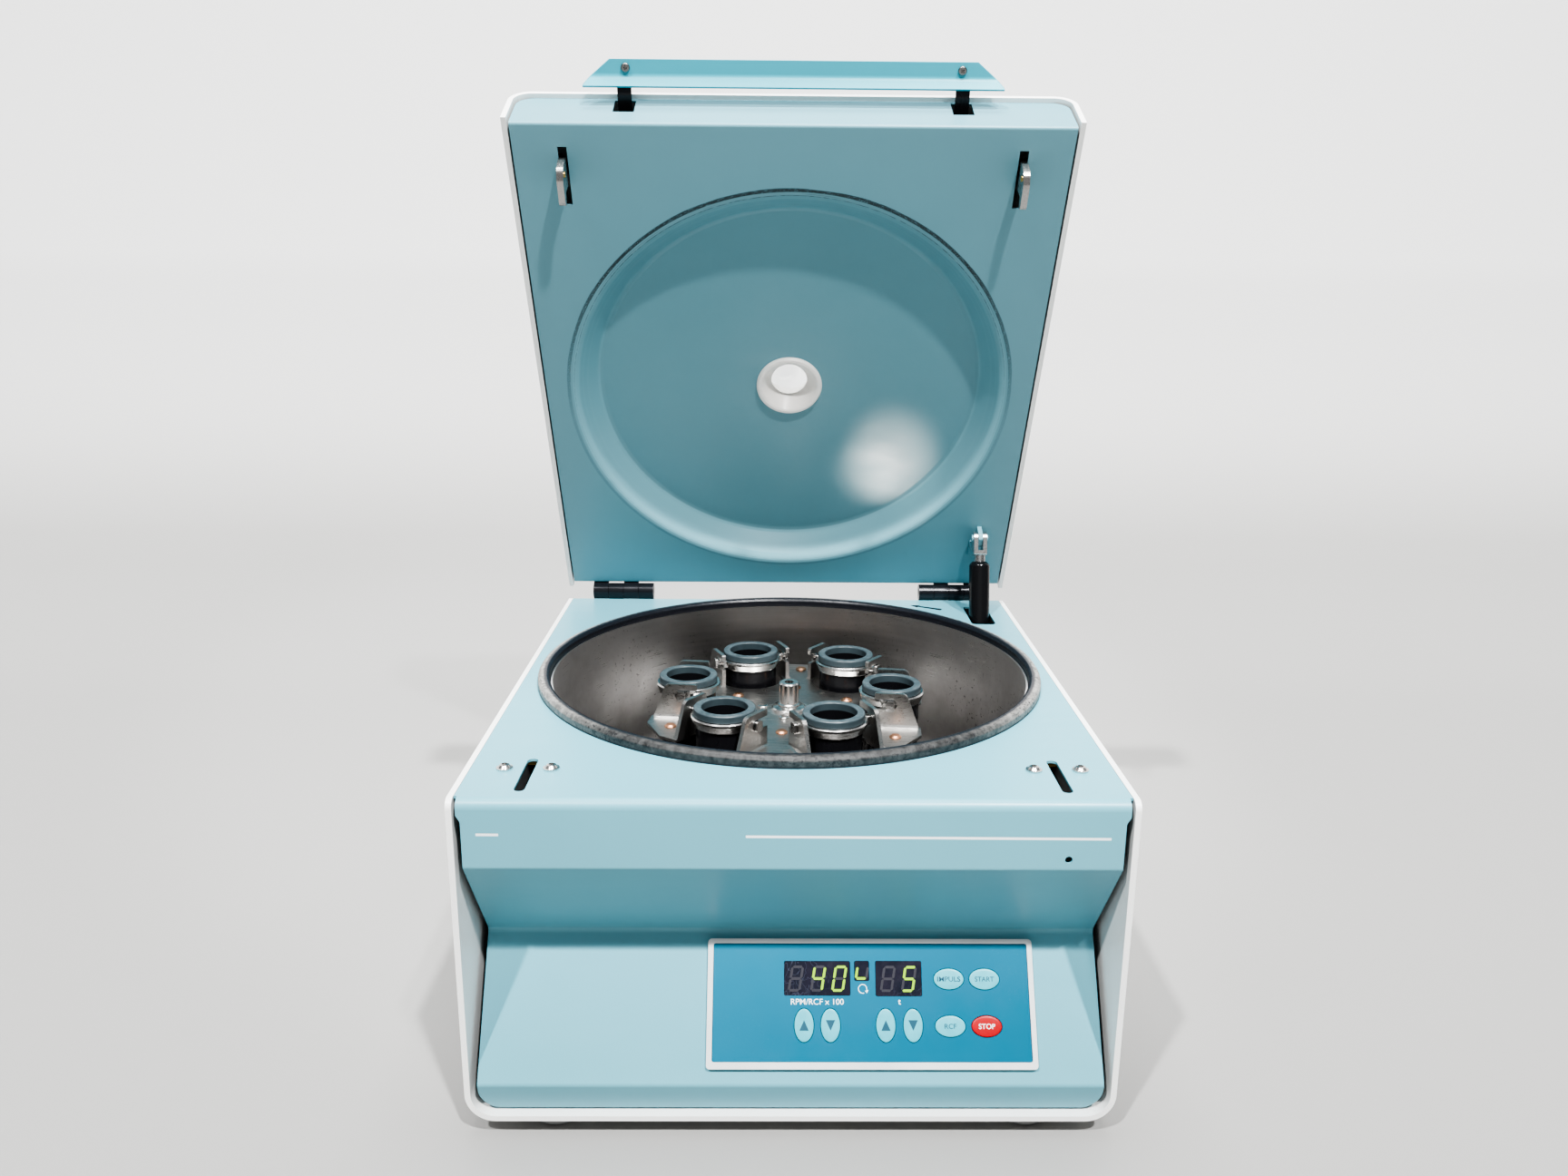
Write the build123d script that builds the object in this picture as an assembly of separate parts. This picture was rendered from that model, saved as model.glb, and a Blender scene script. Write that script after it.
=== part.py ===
from build123d import *
import math
import os

# ---------------------------------------------------------------- driving dimensions (mm)
# Working frame: x to the right, y to the back (0 = front edge of the wrap),
# z up (0 = top plate of the housing).  Everything is shifted on export so that
# the origin is the middle of the footprint of the whole object, at the floor.
HALF_W = 183.0          # half width over the white wrap
WRAP_T = 3.3            # wrap wall
DEPTH = 401.0           # depth of the housing
BODY_H = 195.8          # top plate down to the underside of the wrap
FOOT_H = 10.0
FOOT_R = 16.0
FOOT_X = 135.0
SHEET = 1.5             # top and front cover sheet
FASCIA_Z = -39.1        # lower edge of the vertical fascia
REC_Y, REC_Z = 46.0, -101.4      # inner corner under the overhang
TOE_Y, TOE_Z = 0.0, -172.7       # lower edge of the sloping control field
LIP_Y, LIP_Z = 5.5, -191.4       # bottom of the front strip
CY = 213.3              # chamber and rotor axis (x = 0)
BOWL_R = 161.5          # bowl inner radius at the rim
BOWL_FLOOR = -115.0
SEAL_R = 171.0
SEAL_H = 7.2
SLOT_X = 146.8          # lock slots and hooks
HINGE_Y, HINGE_Z, HINGE_R = 404.9, 5.84, 6.7
LID_OPEN = 61.9         # degrees, lid at rest stands open
LID_TOP = 51.4
PANEL_Z = 8.8           # inner sheet of the lid, lid closed
DOME_R0, DOME_R1, DOME_Z = 161.6, 141.3, 28.0
SHAFT_Y, SHAFT_Z = 50.0, 37.0    # cross shaft of the handle, lid closed
STRUT_X = 155.5
STRUT_UP = (340.5, 1.0)          # upper strut pivot (y, z), lid closed
STRUT_LO = (326.0, -118.8)       # lower strut pivot (y, z)
ROTOR_R = 71.0          # radius of the bucket pivots
ROTOR_A0 = 53.1         # direction of bucket 1
PIVOT_Z = -12.5
STAR_Z = -28.0          # top of the rotor plate
FLANGE_T = 2.8
BUCKET_R = 19.0
BORE_R = 15.15
BUCKET_BOTTOM = -95.0

_c, _s = math.cos(math.radians(LID_OPEN)), math.sin(math.radians(LID_OPEN))


def opened_point(y, z):
    dy, dz = y - HINGE_Y, z - HINGE_Z
    return HINGE_Y + dy * _c + dz * _s, HINGE_Z - dy * _s + dz * _c


REAR = opened_point(402.0, LID_TOP)[0]
YC = REAR / 2.0
ZF = BODY_H + FOOT_H

os.makedirs("parts", exist_ok=True)
BOXES = []


# ---------------------------------------------------------------- helpers
def outline(pts, radii, to3d):
    """Closed outline with rounded corners as a planar face."""
    n = len(pts)
    ends = []
    for i in range(n):
        p0, p1, p2 = pts[i - 1], pts[i], pts[(i + 1) % n]
        r = radii[i]
        if r <= 0.02:
            ends.append((p1, None, p1))
            continue
        v1 = (p0[0] - p1[0], p0[1] - p1[1])
        v2 = (p2[0] - p1[0], p2[1] - p1[1])
        l1, l2 = math.hypot(*v1), math.hypot(*v2)
        v1 = (v1[0] / l1, v1[1] / l1)
        v2 = (v2[0] / l2, v2[1] / l2)
        ang = math.acos(max(-1, min(1, v1[0] * v2[0] + v1[1] * v2[1])))
        tl = r / math.tan(ang / 2)
        b = (v1[0] + v2[0], v1[1] + v2[1])
        lb = math.hypot(*b)
        b = (b[0] / lb, b[1] / lb)
        d = r / math.sin(ang / 2)
        a = (p1[0] + v1[0] * tl, p1[1] + v1[1] * tl)
        e = (p1[0] + v2[0] * tl, p1[1] + v2[1] * tl)
        m = (p1[0] + b[0] * (d - r), p1[1] + b[1] * (d - r))
        ends.append((a, m, e))
    edges = []
    for i in range(n):
        a, m, e = ends[i]
        if m is not None:
            edges.append(Edge.make_three_point_arc(to3d(*a), to3d(*m), to3d(*e)))
        q = ends[(i + 1) % n][0]
        if math.dist(e, q) > 1e-5:
            edges.append(Edge.make_line(to3d(*e), to3d(*q)))
    return Face(Wire(edges))


def rad(pts, radii):
    if radii is None:
        return [0] * len(pts)
    if isinstance(radii, (int, float)):
        return [radii] * len(pts)
    return radii


def prism_x(pts, x0, x1, radii=None):
    """(y, z) outline extruded from x0 to x1."""
    f = outline(pts, rad(pts, radii), lambda a, b: (x0, a, b))
    return extrude(f, amount=x1 - x0, dir=(1, 0, 0))


def prism_y(pts, y0, y1, radii=None):
    """(x, z) outline extruded from y0 to y1."""
    f = outline(pts, rad(pts, radii), lambda a, b: (a, y0, b))
    return extrude(f, amount=y1 - y0, dir=(0, 1, 0))


def prism_z(pts, z0, z1, radii=None):
    """(x, y) outline extruded from z0 to z1."""
    f = outline(pts, rad(pts, radii), lambda a, b: (a, b, z0))
    return extrude(f, amount=z1 - z0, dir=(0, 0, 1))


def turned(pts, radii=None, cx=0.0, cy=CY):
    """(r, z) outline turned about the vertical axis at (cx, cy)."""
    f = outline(pts, rad(pts, radii), lambda a, b: (cx + a, cy, b))
    return revolve(f, axis=Axis((cx, cy, 0), (0, 0, 1)), revolution_arc=360)


def strip(pts, t, radii):
    """Open bent line plus its offset to the left by t: closed outline and radii."""
    n = len(pts)
    dirs = []
    for i in range(n - 1):
        dx, dy = pts[i + 1][0] - pts[i][0], pts[i + 1][1] - pts[i][1]
        l = math.hypot(dx, dy)
        dirs.append((dx / l, dy / l))
    off, rof = [], []
    for i in range(n):
        if i == 0 or i == n - 1:
            d = dirs[0] if i == 0 else dirs[-1]
            off.append((pts[i][0] - d[1] * t, pts[i][1] + d[0] * t))
            rof.append(0)
        else:
            a, b = dirs[i - 1], dirs[i]
            cr = a[0] * b[1] - a[1] * b[0]
            n1, n2 = (-a[1], a[0]), (-b[1], b[0])
            k = t / (1 + n1[0] * n2[0] + n1[1] * n2[1])
            off.append((pts[i][0] + (n1[0] + n2[0]) * k, pts[i][1] + (n1[1] + n2[1]) * k))
            r = radii[i]
            rof.append(max(0, r - t * (1 if cr > 0 else -1)) if r > 0 else 0)
    return pts + off[::-1], radii + rof[::-1]


def box(x0, x1, y0, y1, z0, z1):
    return Pos((x0 + x1) / 2, (y0 + y1) / 2, (z0 + z1) / 2) * Box(abs(x1 - x0), abs(y1 - y0), abs(z1 - z0))


def cyl_z(x, y, z0, z1, r):
    return Pos(x, y, (z0 + z1) / 2) * Cylinder(r, abs(z1 - z0))


def cyl_x(x0, x1, y, z, r):
    return Pos((x0 + x1) / 2, y, z) * Rot(0, 90, 0) * Cylinder(r, abs(x1 - x0))


def cyl_y(x, y0, y1, z, r):
    return Pos(x, (y0 + y1) / 2, z) * Rot(90, 0, 0) * Cylinder(r, abs(y1 - y0))


def slot_z(x, y0, y1, z0, z1, w):
    """Vertical through slot along y with round ends."""
    r = w / 2
    return box(x - r, x + r, y0 + r, y1 - r, z0, z1) + cyl_z(x, y0 + r, z0, z1, r) + cyl_z(x, y1 - r, z0, z1, r)


def opened(shape):
    return shape.rotate(Axis((0, HINGE_Y, HINGE_Z), (1, 0, 0)), -LID_OPEN)


def both(fn):
    return [fn(-1), fn(1)]


def save(name, *shapes):
    solids = [s for sh in shapes for s in sh.solids()]
    moved = [s.moved(Location((0, -YC, ZF))) for s in solids]
    out = moved[0] if len(moved) == 1 else Compound(moved)
    export_step(out, "parts/" + name + ".step")
    bb = out.bounding_box()
    BOXES.append((bb.min, bb.max))
    print(name, len(moved), "solids", round(sum(s.volume for s in moved)))


# ================================================================ housing
# white wrap: two sides and the bottom from one bent sheet
inner = HALF_W - WRAP_T
u = [(-HALF_W, 0), (-HALF_W, -BODY_H), (HALF_W, -BODY_H), (HALF_W, 0),
     (inner, 0), (inner, -BODY_H + WRAP_T), (-inner, -BODY_H + WRAP_T), (-inner, 0)]
wrap = prism_y(u, 0, DEPTH, [0, 17, 17, 0, 0, 17 - WRAP_T, 17 - WRAP_T, 0])
for sx in (-1, 1):      # rounded top front corners of the side walls
    corner = prism_x([(-1, 1), (5.5, 1), (5.5, -5.5), (-1, -5.5)], sx * 181.3 - 4, sx * 181.3 + 4)
    wrap -= corner - cyl_x(sx * 181.3 - 4, sx * 181.3 + 4, 5.5, -5.5, 5.5)
for i in range(9):      # cooling slots in the bottom
    wrap -= box(-60 + i * 15 - 2, -60 + i * 15 + 2, 250, 330, -BODY_H - 1, -BODY_H + WRAP_T + 1)
for fx in (-FOOT_X, FOOT_X):
    for fy in (24.0, 375.0):
        wrap -= cyl_z(fx, fy, -BODY_H - 1, -BODY_H + WRAP_T + 1, 3.0)
save("side_wrap", wrap)

# teal cover: top plate, fascia, overhang, control slope and bottom strip in one bent sheet
pts = [(DEPTH, 0), (0, 0), (0, FASCIA_Z), (REC_Y, REC_Z), (TOE_Y, TOE_Z), (LIP_Y, LIP_Z), (24, LIP_Z)]
o, r = strip(pts, SHEET, [0, 5.5, 3.0, 4.0, 3.0, 2.0, 0])
cover = prism_x(o, -179.4, 179.4, r)
for sx in (-1, 1):
    cover -= box(sx * 177.7, sx * 181, -2, 5.6, 1, -12)
    cover -= prism_y([(sx * 177.7, -8.8), (sx * 181, -8.8), (sx * 181, -194), (sx * 175.6, -194), (sx * 175.6, -12.4)],
                     -2, 60, [0, 0, 0, 0, 3.0])
    # rounded lower corners of the front strip
    cc = box(sx * 161.6, sx * 177, -2, 30, -177.4, -193) - cyl_y(sx * 161.6, -3, 31, -177.4, 14.0)
    cover -= cc
    cover -= slot_z(sx * SLOT_X, 12, 56, -3, 1, 6.0)
    for hx in (134.4, 160.4):
        cover -= cyl_z(sx * hx, 42, -3, 1, 2.6)
cover -= cyl_z(0, CY, -3, 1, 164.4)
cover -= prism_z([(146, 330), (165, 330), (165, 381), (146, 381)], -3, 1, 4.0)
cover -= cyl_y(146.2, -1, 3, -33.2, 2.0)

# frame of the sloping control field
_dl = math.hypot(REC_Y - TOE_Y, REC_Z - TOE_Z)
_d = ((TOE_Y - REC_Y) / _dl, (TOE_Z - REC_Z) / _dl)         # down the slope
SLOPE = Plane(origin=(0, REC_Y, REC_Z), x_dir=(1, 0, 0), z_dir=(0, _d[1], -_d[0])).location
# local x = x, local y = minus the distance down the slope, local z = out of the slope


def on_slope(x, t, h, shape):
    return SLOPE * Pos(x, -t, h) * shape


def slope_box(x0, x1, t0, t1, h0, h1, rr=0.0):
    sk = Rectangle(x1 - x0, t1 - t0) if rr <= 0 else RectangleRounded(x1 - x0, t1 - t0, rr)
    return on_slope((x0 + x1) / 2, (t0 + t1) / 2, h0, extrude(sk, amount=h1 - h0, dir=(0, 0, 1)))


BX0, BX1, BT0, BT1 = -48.0, 138.8, 5.6, 76.1
cover -= slope_box(BX0 + 8, BX1 - 8, BT0 + 7, BT1 - 7, -3, 3)
save("front_top_cover", cover)

bezel = slope_box(BX0, BX1, BT0, BT1, 0.05, 2.6, 2.2) - slope_box(BX0 + 3.1, BX1 - 2.9, BT0 + 2.6, BT1 - 3.8, -1, 4, 1.2)
save("control_frame", bezel)

KEYS = {   # name: (x, t, half width, half height)
    "key_speed_up": (7.1, 52.8, 5.5, 9.0),
    "key_speed_down": (22.1, 52.8, 5.5, 9.0),
    "key_time_up": (53.5, 52.8, 5.5, 9.0),
    "key_time_down": (69.0, 52.8, 5.5, 9.0),
    "key_pulse": (90.2, 27.7, 8.6, 5.75),
    "key_start": (110.6, 27.7, 8.6, 5.75),
    "key_rcf": (90.2, 53.2, 8.6, 5.75),
    "key_stop": (110.9, 53.2, 8.6, 5.75),
}
face = slope_box(BX0 + 3.2, BX1 - 3.0, BT0 + 2.7, BT1 - 3.9, 0.05, 1.6, 1.0)
for kx, kt, ka, kb in KEYS.values():
    face -= on_slope(kx, kt, -1, extrude(Ellipse(ka + 0.3, kb + 0.3), amount=4, dir=(0, 0, 1)))
save("control_face", face)
for name, (kx, kt, ka, kb) in KEYS.items():
    save(name, on_slope(kx, kt, -3.0, extrude(Ellipse(ka, kb), amount=5.3, dir=(0, 0, 1))))

# control board behind the slope, power board beside the motor
board = slope_box(-40, 130, 9, 73, -15.6, -14.0)
for kx, kt, ka, kb in KEYS.values():
    board += on_slope(kx, kt, -14.1, extrude(Circle(2.4), amount=9.8, dir=(0, 0, 1)))
board += slope_box(-4.3, 74.7, 18, 37, -14.1, -3.5)
power = box(-130, 130, 298, 355, -187.0, -185.4)
power += box(-95, -35, 303, 350, -185.5, -146)
power += cyl_z(20, 326, -185.5, -150, 11) + cyl_z(48, 326, -185.5, -150, 11)
power += box(80, 125, 335, 350, -185.5, -152)
save("circuit_boards", board, power)

# rear panel with vents
rear = prism_y([(-179.2, -192.3), (179.2, -192.3), (179.2, -1.7), (-179.2, -1.7)], DEPTH - 1.5, DEPTH, [14, 14, 0, 0])
for i in range(12):
    rear -= box(20 + i * 9, 24 + i * 9, DEPTH - 3, DEPTH + 1, -160, -100)
INX, INZ = -110.0, -150.0
rear -= box(INX - 34.4, INX + 34.4, DEPTH - 3, DEPTH + 1, INZ - 12.4, INZ + 12.4)
for cx in (-170, 170):
    for cz in (-14, -98, -182):
        rear -= cyl_y(cx, DEPTH - 3, DEPTH + 1, cz, 2.1)
save("rear_panel", rear)

# mains inlet module with the opening for the rocker
inlet = box(INX - 38, INX + 38, DEPTH, DEPTH + 2, INZ - 16, INZ + 16)
inlet += box(INX - 34, INX + 34, 372, DEPTH + 0.5, INZ - 12, INZ + 12)
SOX = INX + 14.0
inlet -= prism_y([(SOX - 12.5, INZ - 8.5), (SOX + 12.5, INZ - 8.5), (SOX + 12.5, INZ + 4.5), (SOX + 8.5, INZ + 8.5),
                  (SOX - 8.5, INZ + 8.5), (SOX - 12.5, INZ + 4.5)], 385, DEPTH + 4)
for px, pz in ((SOX - 7, INZ - 2.5), (SOX, INZ + 2.5), (SOX + 7, INZ - 2.5)):
    inlet += box(px - 1, px + 1, 384, 397, pz - 2, pz + 2)
RKX, RKY = INX - 23.0, 397.4
inlet -= box(RKX - 7.0, RKX + 7.0, 388, DEPTH + 4, INZ - 11.0, INZ + 11.0)
inlet -= cyl_x(RKX - 9.4, RKX + 9.4, RKY, INZ, 1.35)
save("mains_inlet", inlet)

# rocker on its two side pins, standing in its off position
rocker = prism_x([(403.6, INZ + 9.2), (401.4, INZ), (403.6, INZ - 9.2), (393.5, INZ - 6.5), (393.5, INZ + 6.5)],
                 RKX - 6.4, RKX + 6.4, [0.8, 0, 0.8, 1, 1])
rocker = rocker.rotate(Axis((0, RKY, INZ), (1, 0, 0)), -9.0)
rocker += cyl_x(RKX - 9.2, RKX + 9.2, RKY, INZ, 1.2)
save("mains_rocker", rocker)

# chassis frame: bridge over the motor, carries motor and bowl
ch = box(-138, 138, 70, 360, -121.0, -118.5) - cyl_z(0, CY, -123, -117, 40)
for sx in (-1, 1):
    ch += box(sx * 135.5, sx * 138, 70, 360, -192.4, -118.5)
    ch += box(sx * 138, sx * 152, 70, 360, -192.4, -190.0)
for a in (45, 135, 225, 315):
    px, py = 100 * math.cos(math.radians(a)), CY + 100 * math.sin(math.radians(a))
    ch += cyl_z(px, py, -118.6, -116.25, 9)
save("chassis_frame", ch)

feet = []
for fx in (-FOOT_X, FOOT_X):
    for fy in (24.0, 375.0):
        feet.append(turned([(0, -BODY_H), (FOOT_R, -BODY_H), (FOOT_R, -BODY_H - FOOT_H), (6, -BODY_H - FOOT_H),
                            (6, -BODY_H - FOOT_H + 4), (0, -BODY_H - FOOT_H + 4)], [0, 1.0, 2.5, 0.6, 0, 0], fx, fy))
save("feet", *feet)

# stainless bowl
o, r = strip([(BOWL_R, 1.5), (BOWL_R - 4, -93), (BOWL_R - 4.2, BOWL_FLOOR), (16, BOWL_FLOOR)], 1.2, [0, 0, 24, 0])
bowl = turned(o, r)
bowl += turned([(BOWL_R + 0.9, -4.2), (170, -4.2), (170, -2.3), (BOWL_R + 0.9, -2.3)])
save("chamber_bowl", bowl)

# rubber seal ring clamped on the edge of the top plate
save("chamber_seal", turned([(163.0, -2.1), (164.25, -2.1), (164.25, 0.03), (SEAL_R, 0.03), (SEAL_R, 4.6), (169.2, SEAL_H),
                             (164.6, SEAL_H), (163.0, 5.4)], [0, 0, 0, 0, 1.5, 2.0, 1.5, 1.5]))

# motor with its two bearings
save("motor_housing", turned([(14, -127), (66, -127), (66, -130.5), (56, -130.5), (56, -187), (14, -187), (14, -178.5),
                              (31.4, -178.5), (31.4, -135.5), (14, -135.5)], [0, 0, 0, 1, 3, 0, 0, 0, 0, 0]))
mounts = []
for a in (45, 135, 225, 315):
    mounts.append(cyl_z(59 * math.cos(math.radians(a)), CY + 59 * math.sin(math.radians(a)), -127, -121, 6.0))
save("motor_mounts", *mounts)
save("motor_bearings", turned([(6.05, -127.2), (14, -127.2), (14, -135.2), (6.05, -135.2)]),
     turned([(6.05, -178.8), (14, -178.8), (14, -186.8), (6.05, -186.8)]))

# lock units under the two slots
frames, catches, screws = [], [], []
for sx in (-1, 1):
    f = box(sx * 140.4, sx * 142.9, 8, 70, -30, -1.6) + box(sx * 150.7, sx * 153.2, 8, 70, -30, -1.6)
    f += box(sx * 140.4, sx * 153.2, 8, 70, -32, -29.9)
    f += box(sx * 128.5, sx * 141, 34, 50, -4.1, -1.6) + box(sx * 152.6, sx * 167, 34, 50, -4.1, -1.6)
    for hx in (134.4, 160.4):
        f -= cyl_z(sx * hx, 42, -6, 0, 2.5)
        screws.append(turned([(0, -10), (2.45, -10), (2.45, 0.03), (4.6, 0.03), (4.6, 0.9), (3.7, 1.1), (2.6, 2.5), (1.5, 2.9),
                              (1.5, 1.0), (0, 1.0)], None, sx * hx, 42))
    frames.append(f)
    catches.append(box(sx * 143.0, sx * 150.6, 57.2, 67, -4.3, -1.6))
save("lock_frames", *frames)
save("lock_catches", *catches)
save("lock_screws", *screws)

# hinges: base leaves with knuckles 1 and 3, lid leaves with knuckles 2 and 4
KN = [111.8 + 12.6 * i for i in range(5)]
base, leaf, pins = [], [], []
for sx in (-1, 1):
    b = box(sx * KN[0], sx * KN[4], 401.05, 403.05, -30, -1.4)
    l = box(sx * KN[0], sx * KN[4], 398.1, 400.1, 13.2, 40)
    for i in range(4):
        x0, x1 = KN[i] + 0.15, KN[i + 1] - 0.15
        k = cyl_x(sx * x0, sx * x1, HINGE_Y, HINGE_Z, HINGE_R)
        if i in (0, 2):
            b += k + box(sx * x0, sx * x1, 401.05, 403.05, -2, 3)
        else:
            l += k + box(sx * x0, sx * x1, 398.1, 400.1, HINGE_Z, 14)
    b -= cyl_x(sx * 110, sx * 164, HINGE_Y, HINGE_Z, 2.5)
    l -= cyl_x(sx * 110, sx * 164, HINGE_Y, HINGE_Z, 2.56)
    base.append(b)
    leaf.append(l)
    pins.append(cyl_x(sx * KN[0], sx * KN[4], HINGE_Y, HINGE_Z, 2.5))
save("hinge_bases", *base)
save("hinge_pins", *pins)

# lower strut bracket with its stud on the right side wall; the stud ends just short of the rod's eye
sb = box(176.0, inner - 0.05, STRUT_LO[0] - 14, STRUT_LO[0] + 14, STRUT_LO[1] - 16, STRUT_LO[1] + 16)
sb += cyl_x(160.1, 176.2, STRUT_LO[0], STRUT_LO[1], 3.0)
save("strut_bracket", sb)

# ================================================================ rotor
shaft = turned([(0, -186), (6, -186), (6, -174.5), (30.8, -174.5), (30.8, -140), (6, -140), (6, -56), (8, -52.0), (8, -33),
                (3.4, -30), (3.4, -17), (0, -17)])
save("motor_shaft", shaft)


def rotor_cut(rr, z0, z1):
    out = None
    for k in range(6):
        a = ROTOR_A0 + 60 * k
        c = Pos(0, CY, 0) * Rot(0, 0, a) * (cyl_z(ROTOR_R, 0, z0, z1, rr) + box(ROTOR_R, 130, -rr, rr, z0, z1))
        out = c if out is None else out + c
    return out


rivet_xy = []
for k in range(6):
    a = math.radians(ROTOR_A0 + 30 + 60 * k)
    for rr in (45.0, 87.0):
        rivet_xy.append((rr * math.cos(a), CY + rr * math.sin(a)))

plate = []
for k in range(6):
    a = math.radians(ROTOR_A0 + 30 + 60 * k)
    for du, dv in ((92.0, -24.5), (99.0, -13.5), (99.0, 13.5), (92.0, 24.5)):
        plate.append((du * math.cos(a) - dv * math.sin(a), CY + du * math.sin(a) + dv * math.cos(a)))
star = prism_z(plate, STAR_Z - 2, STAR_Z) - rotor_cut(24.0, STAR_Z - 3, STAR_Z + 1)
star -= cyl_z(0, CY, -40, -20, 3.45)
for px, py in rivet_xy:
    star -= cyl_z(px, py, -40, -20, 2.5)
# twelve flanges standing on the plate, each with a slot that is open towards the middle
flanges = []
for k in range(6):
    for sv in (-1, 1):
        fl = prism_y([(ROTOR_R - 10.5, STAR_Z), (ROTOR_R + 19.6, STAR_Z), (ROTOR_R + 10.8, -4.0), (ROTOR_R - 10.5, -4.0)],
                     24.0, 24.0 + FLANGE_T, [0, 0, 5, 1.5])
        fl -= prism_y([(ROTOR_R - 15, -15.2), (ROTOR_R + 4.4, -15.2), (ROTOR_R + 4.4, -8.4), (ROTOR_R - 15, -8.4)],
                      23, 28, [0, 3.2, 3.2, 0])
        fl += prism_x([(23.9 + FLANGE_T, STAR_Z), (26.2 + FLANGE_T, STAR_Z), (24.6 + FLANGE_T, STAR_Z + 0.7),
                       (23.9 + FLANGE_T, STAR_Z + 2.3)], ROTOR_R - 10.5, ROTOR_R + 18.9)
        if sv < 0:
            fl = fl.mirror(Plane.XZ)
        flanges.append(Pos(0, CY, 0) * Rot(0, 0, ROTOR_A0 + 60 * k) * fl)
save("rotor_star", star, *flanges)

hub = turned([(8.03, -52), (20, -52), (20, -38), (26, -33.2), (46.5, -33.2), (46.5, -30.03), (3.5, -30.03), (8.03, -33)])
for px, py in rivet_xy:
    hub -= cyl_z(px, py, -40, -20, 2.5)
save("rotor_hub", hub)

rivets = []
for i, (px, py) in enumerate(rivet_xy):
    rb = -33.2 if i % 2 == 0 else STAR_Z - 2.0
    rivets.append(turned([(0, rb - 1.8), (3.0, rb - 1.8), (4.0, rb - 1.0), (4.0, rb), (2.5, rb), (2.5, STAR_Z), (4.0, STAR_Z),
                          (4.0, STAR_Z + 0.6), (2.6, STAR_Z + 1.7), (0, STAR_Z + 1.9)], None, px, py))
save("rotor_rivets", *rivets)

nut = turned([(3.45, STAR_Z), (12, STAR_Z), (12, STAR_Z + 1.5), (11.2, STAR_Z + 2.3), (8.6, STAR_Z + 2.9), (7.9, STAR_Z + 3.2),
              (7.9, STAR_Z + 4.6), (7.0, STAR_Z + 5.2), (7.0, -8.9), (6.1, -8.0), (0, -8.0), (0, -16.9), (3.45, -16.9)])
nut -= Pos(0, CY, -14.5) * extrude(RegularPolygon(3.5, 6), amount=8, dir=(0, 0, 1))
save("rotor_nut", nut)

# six buckets: sleeve with collar, polished trunnion band with two pins
for k in range(6):
    a = ROTOR_A0 + 60 * k
    sleeve = turned([(0, BUCKET_BOTTOM), (BUCKET_R, BUCKET_BOTTOM), (BUCKET_R, -10.0), (20.25, -10.0), (20.25, -5.0),
                     (BORE_R, -5.0), (BORE_R, BUCKET_BOTTOM + 2), (0, BUCKET_BOTTOM + 2)],
                    [0, 6, 0, 0.5, 1.2, 0.8, 3, 0], ROTOR_R, 0)
    band = turned([(BUCKET_R, -17), (20.1, -17), (20.7, -16.3), (22.2, -12.2), (22.3, -10.8), (21.5, -10.05), (BUCKET_R, -10.05)],
                  None, ROTOR_R, 0)
    for sv in (-1, 1):
        band += prism_y([(ROTOR_R - 5.2, -16.4), (ROTOR_R + 5.2, -16.4), (ROTOR_R + 5.2, -10.05), (ROTOR_R - 5.2, -10.05)],
                        min(sv * 18.5, sv * 23.6), max(sv * 18.5, sv * 23.6), [1.5, 1.5, 1, 1])
        band += cyl_y(ROTOR_R, sv * 21.0, sv * 28.5, PIVOT_Z, 2.4)
        band += prism_y([(ROTOR_R - 2.9, PIVOT_Z - 3.5), (ROTOR_R + 2.9, PIVOT_Z - 3.5), (ROTOR_R + 2.9, PIVOT_Z + 3.5),
                         (ROTOR_R - 2.9, PIVOT_Z + 3.5)], min(sv * 27.1, sv * 29.0), max(sv * 27.1, sv * 29.0), [1.4] * 4)
    band -= cyl_z(ROTOR_R, 0, -20, 0, BUCKET_R)
    pose = Pos(0, CY, 0) * Rot(0, 0, a)
    save("bucket_sleeve_%d" % (k + 1), pose * sleeve)
    save("bucket_band_%d" % (k + 1), pose * band)

# ================================================================ lid (modelled closed, then opened)
t = WRAP_T
u = [(-HALF_W, PANEL_Z), (-HALF_W, LID_TOP), (HALF_W, LID_TOP), (HALF_W, PANEL_Z),
     (inner, PANEL_Z), (inner, LID_TOP - t), (-inner, LID_TOP - t), (-inner, PANEL_Z)]
shell = prism_y(u, 5.5, 402.0, [0, 14, 14, 0, 0, 14 - t, 14 - t, 0])
shell -= cyl_z(0, CY, 40, 60, 19.9)
save("lid_shell", opened(shell))

# inner sheet of the lid: flat panel with a dished recess, front and rear bands
PT = 1.2
FB = 8.5                # front band plane
prof = [(FB, LID_TOP - t - 0.05), (FB, PANEL_Z), (398.0, PANEL_Z), (398.0, LID_TOP - t - 0.05)]
o, r = strip(prof, PT, [0, 2.0, 2.0, 0])
panel = prism_x(o, -178.4, 178.4, r)
panel -= cyl_z(0, CY, 5, 12, DOME_R0)
for sx in (-1, 1):
    panel -= box(sx * 166.9, sx * 180, 0, 410, 36.6, 50) - cyl_y(sx * 166.9, -2, 412, 36.6, 11.4)
o, r = strip([(DOME_R0 + 1.4, PANEL_Z), (DOME_R0 - 4.6, PANEL_Z), (DOME_R1, DOME_Z), (19.9, DOME_Z)], -PT, [0, 10.0, 6.0, 0])
panel += turned(o, r)
for sx in (-1, 1):
    panel -= box(sx * SLOT_X - 2.9, sx * SLOT_X + 2.9, 24, 62.5, 5, 14)
    panel -= box(sx * 101.7, sx * 115.3, 5, 12, 27, 45)
save("lid_panel", opened(panel))

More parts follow.
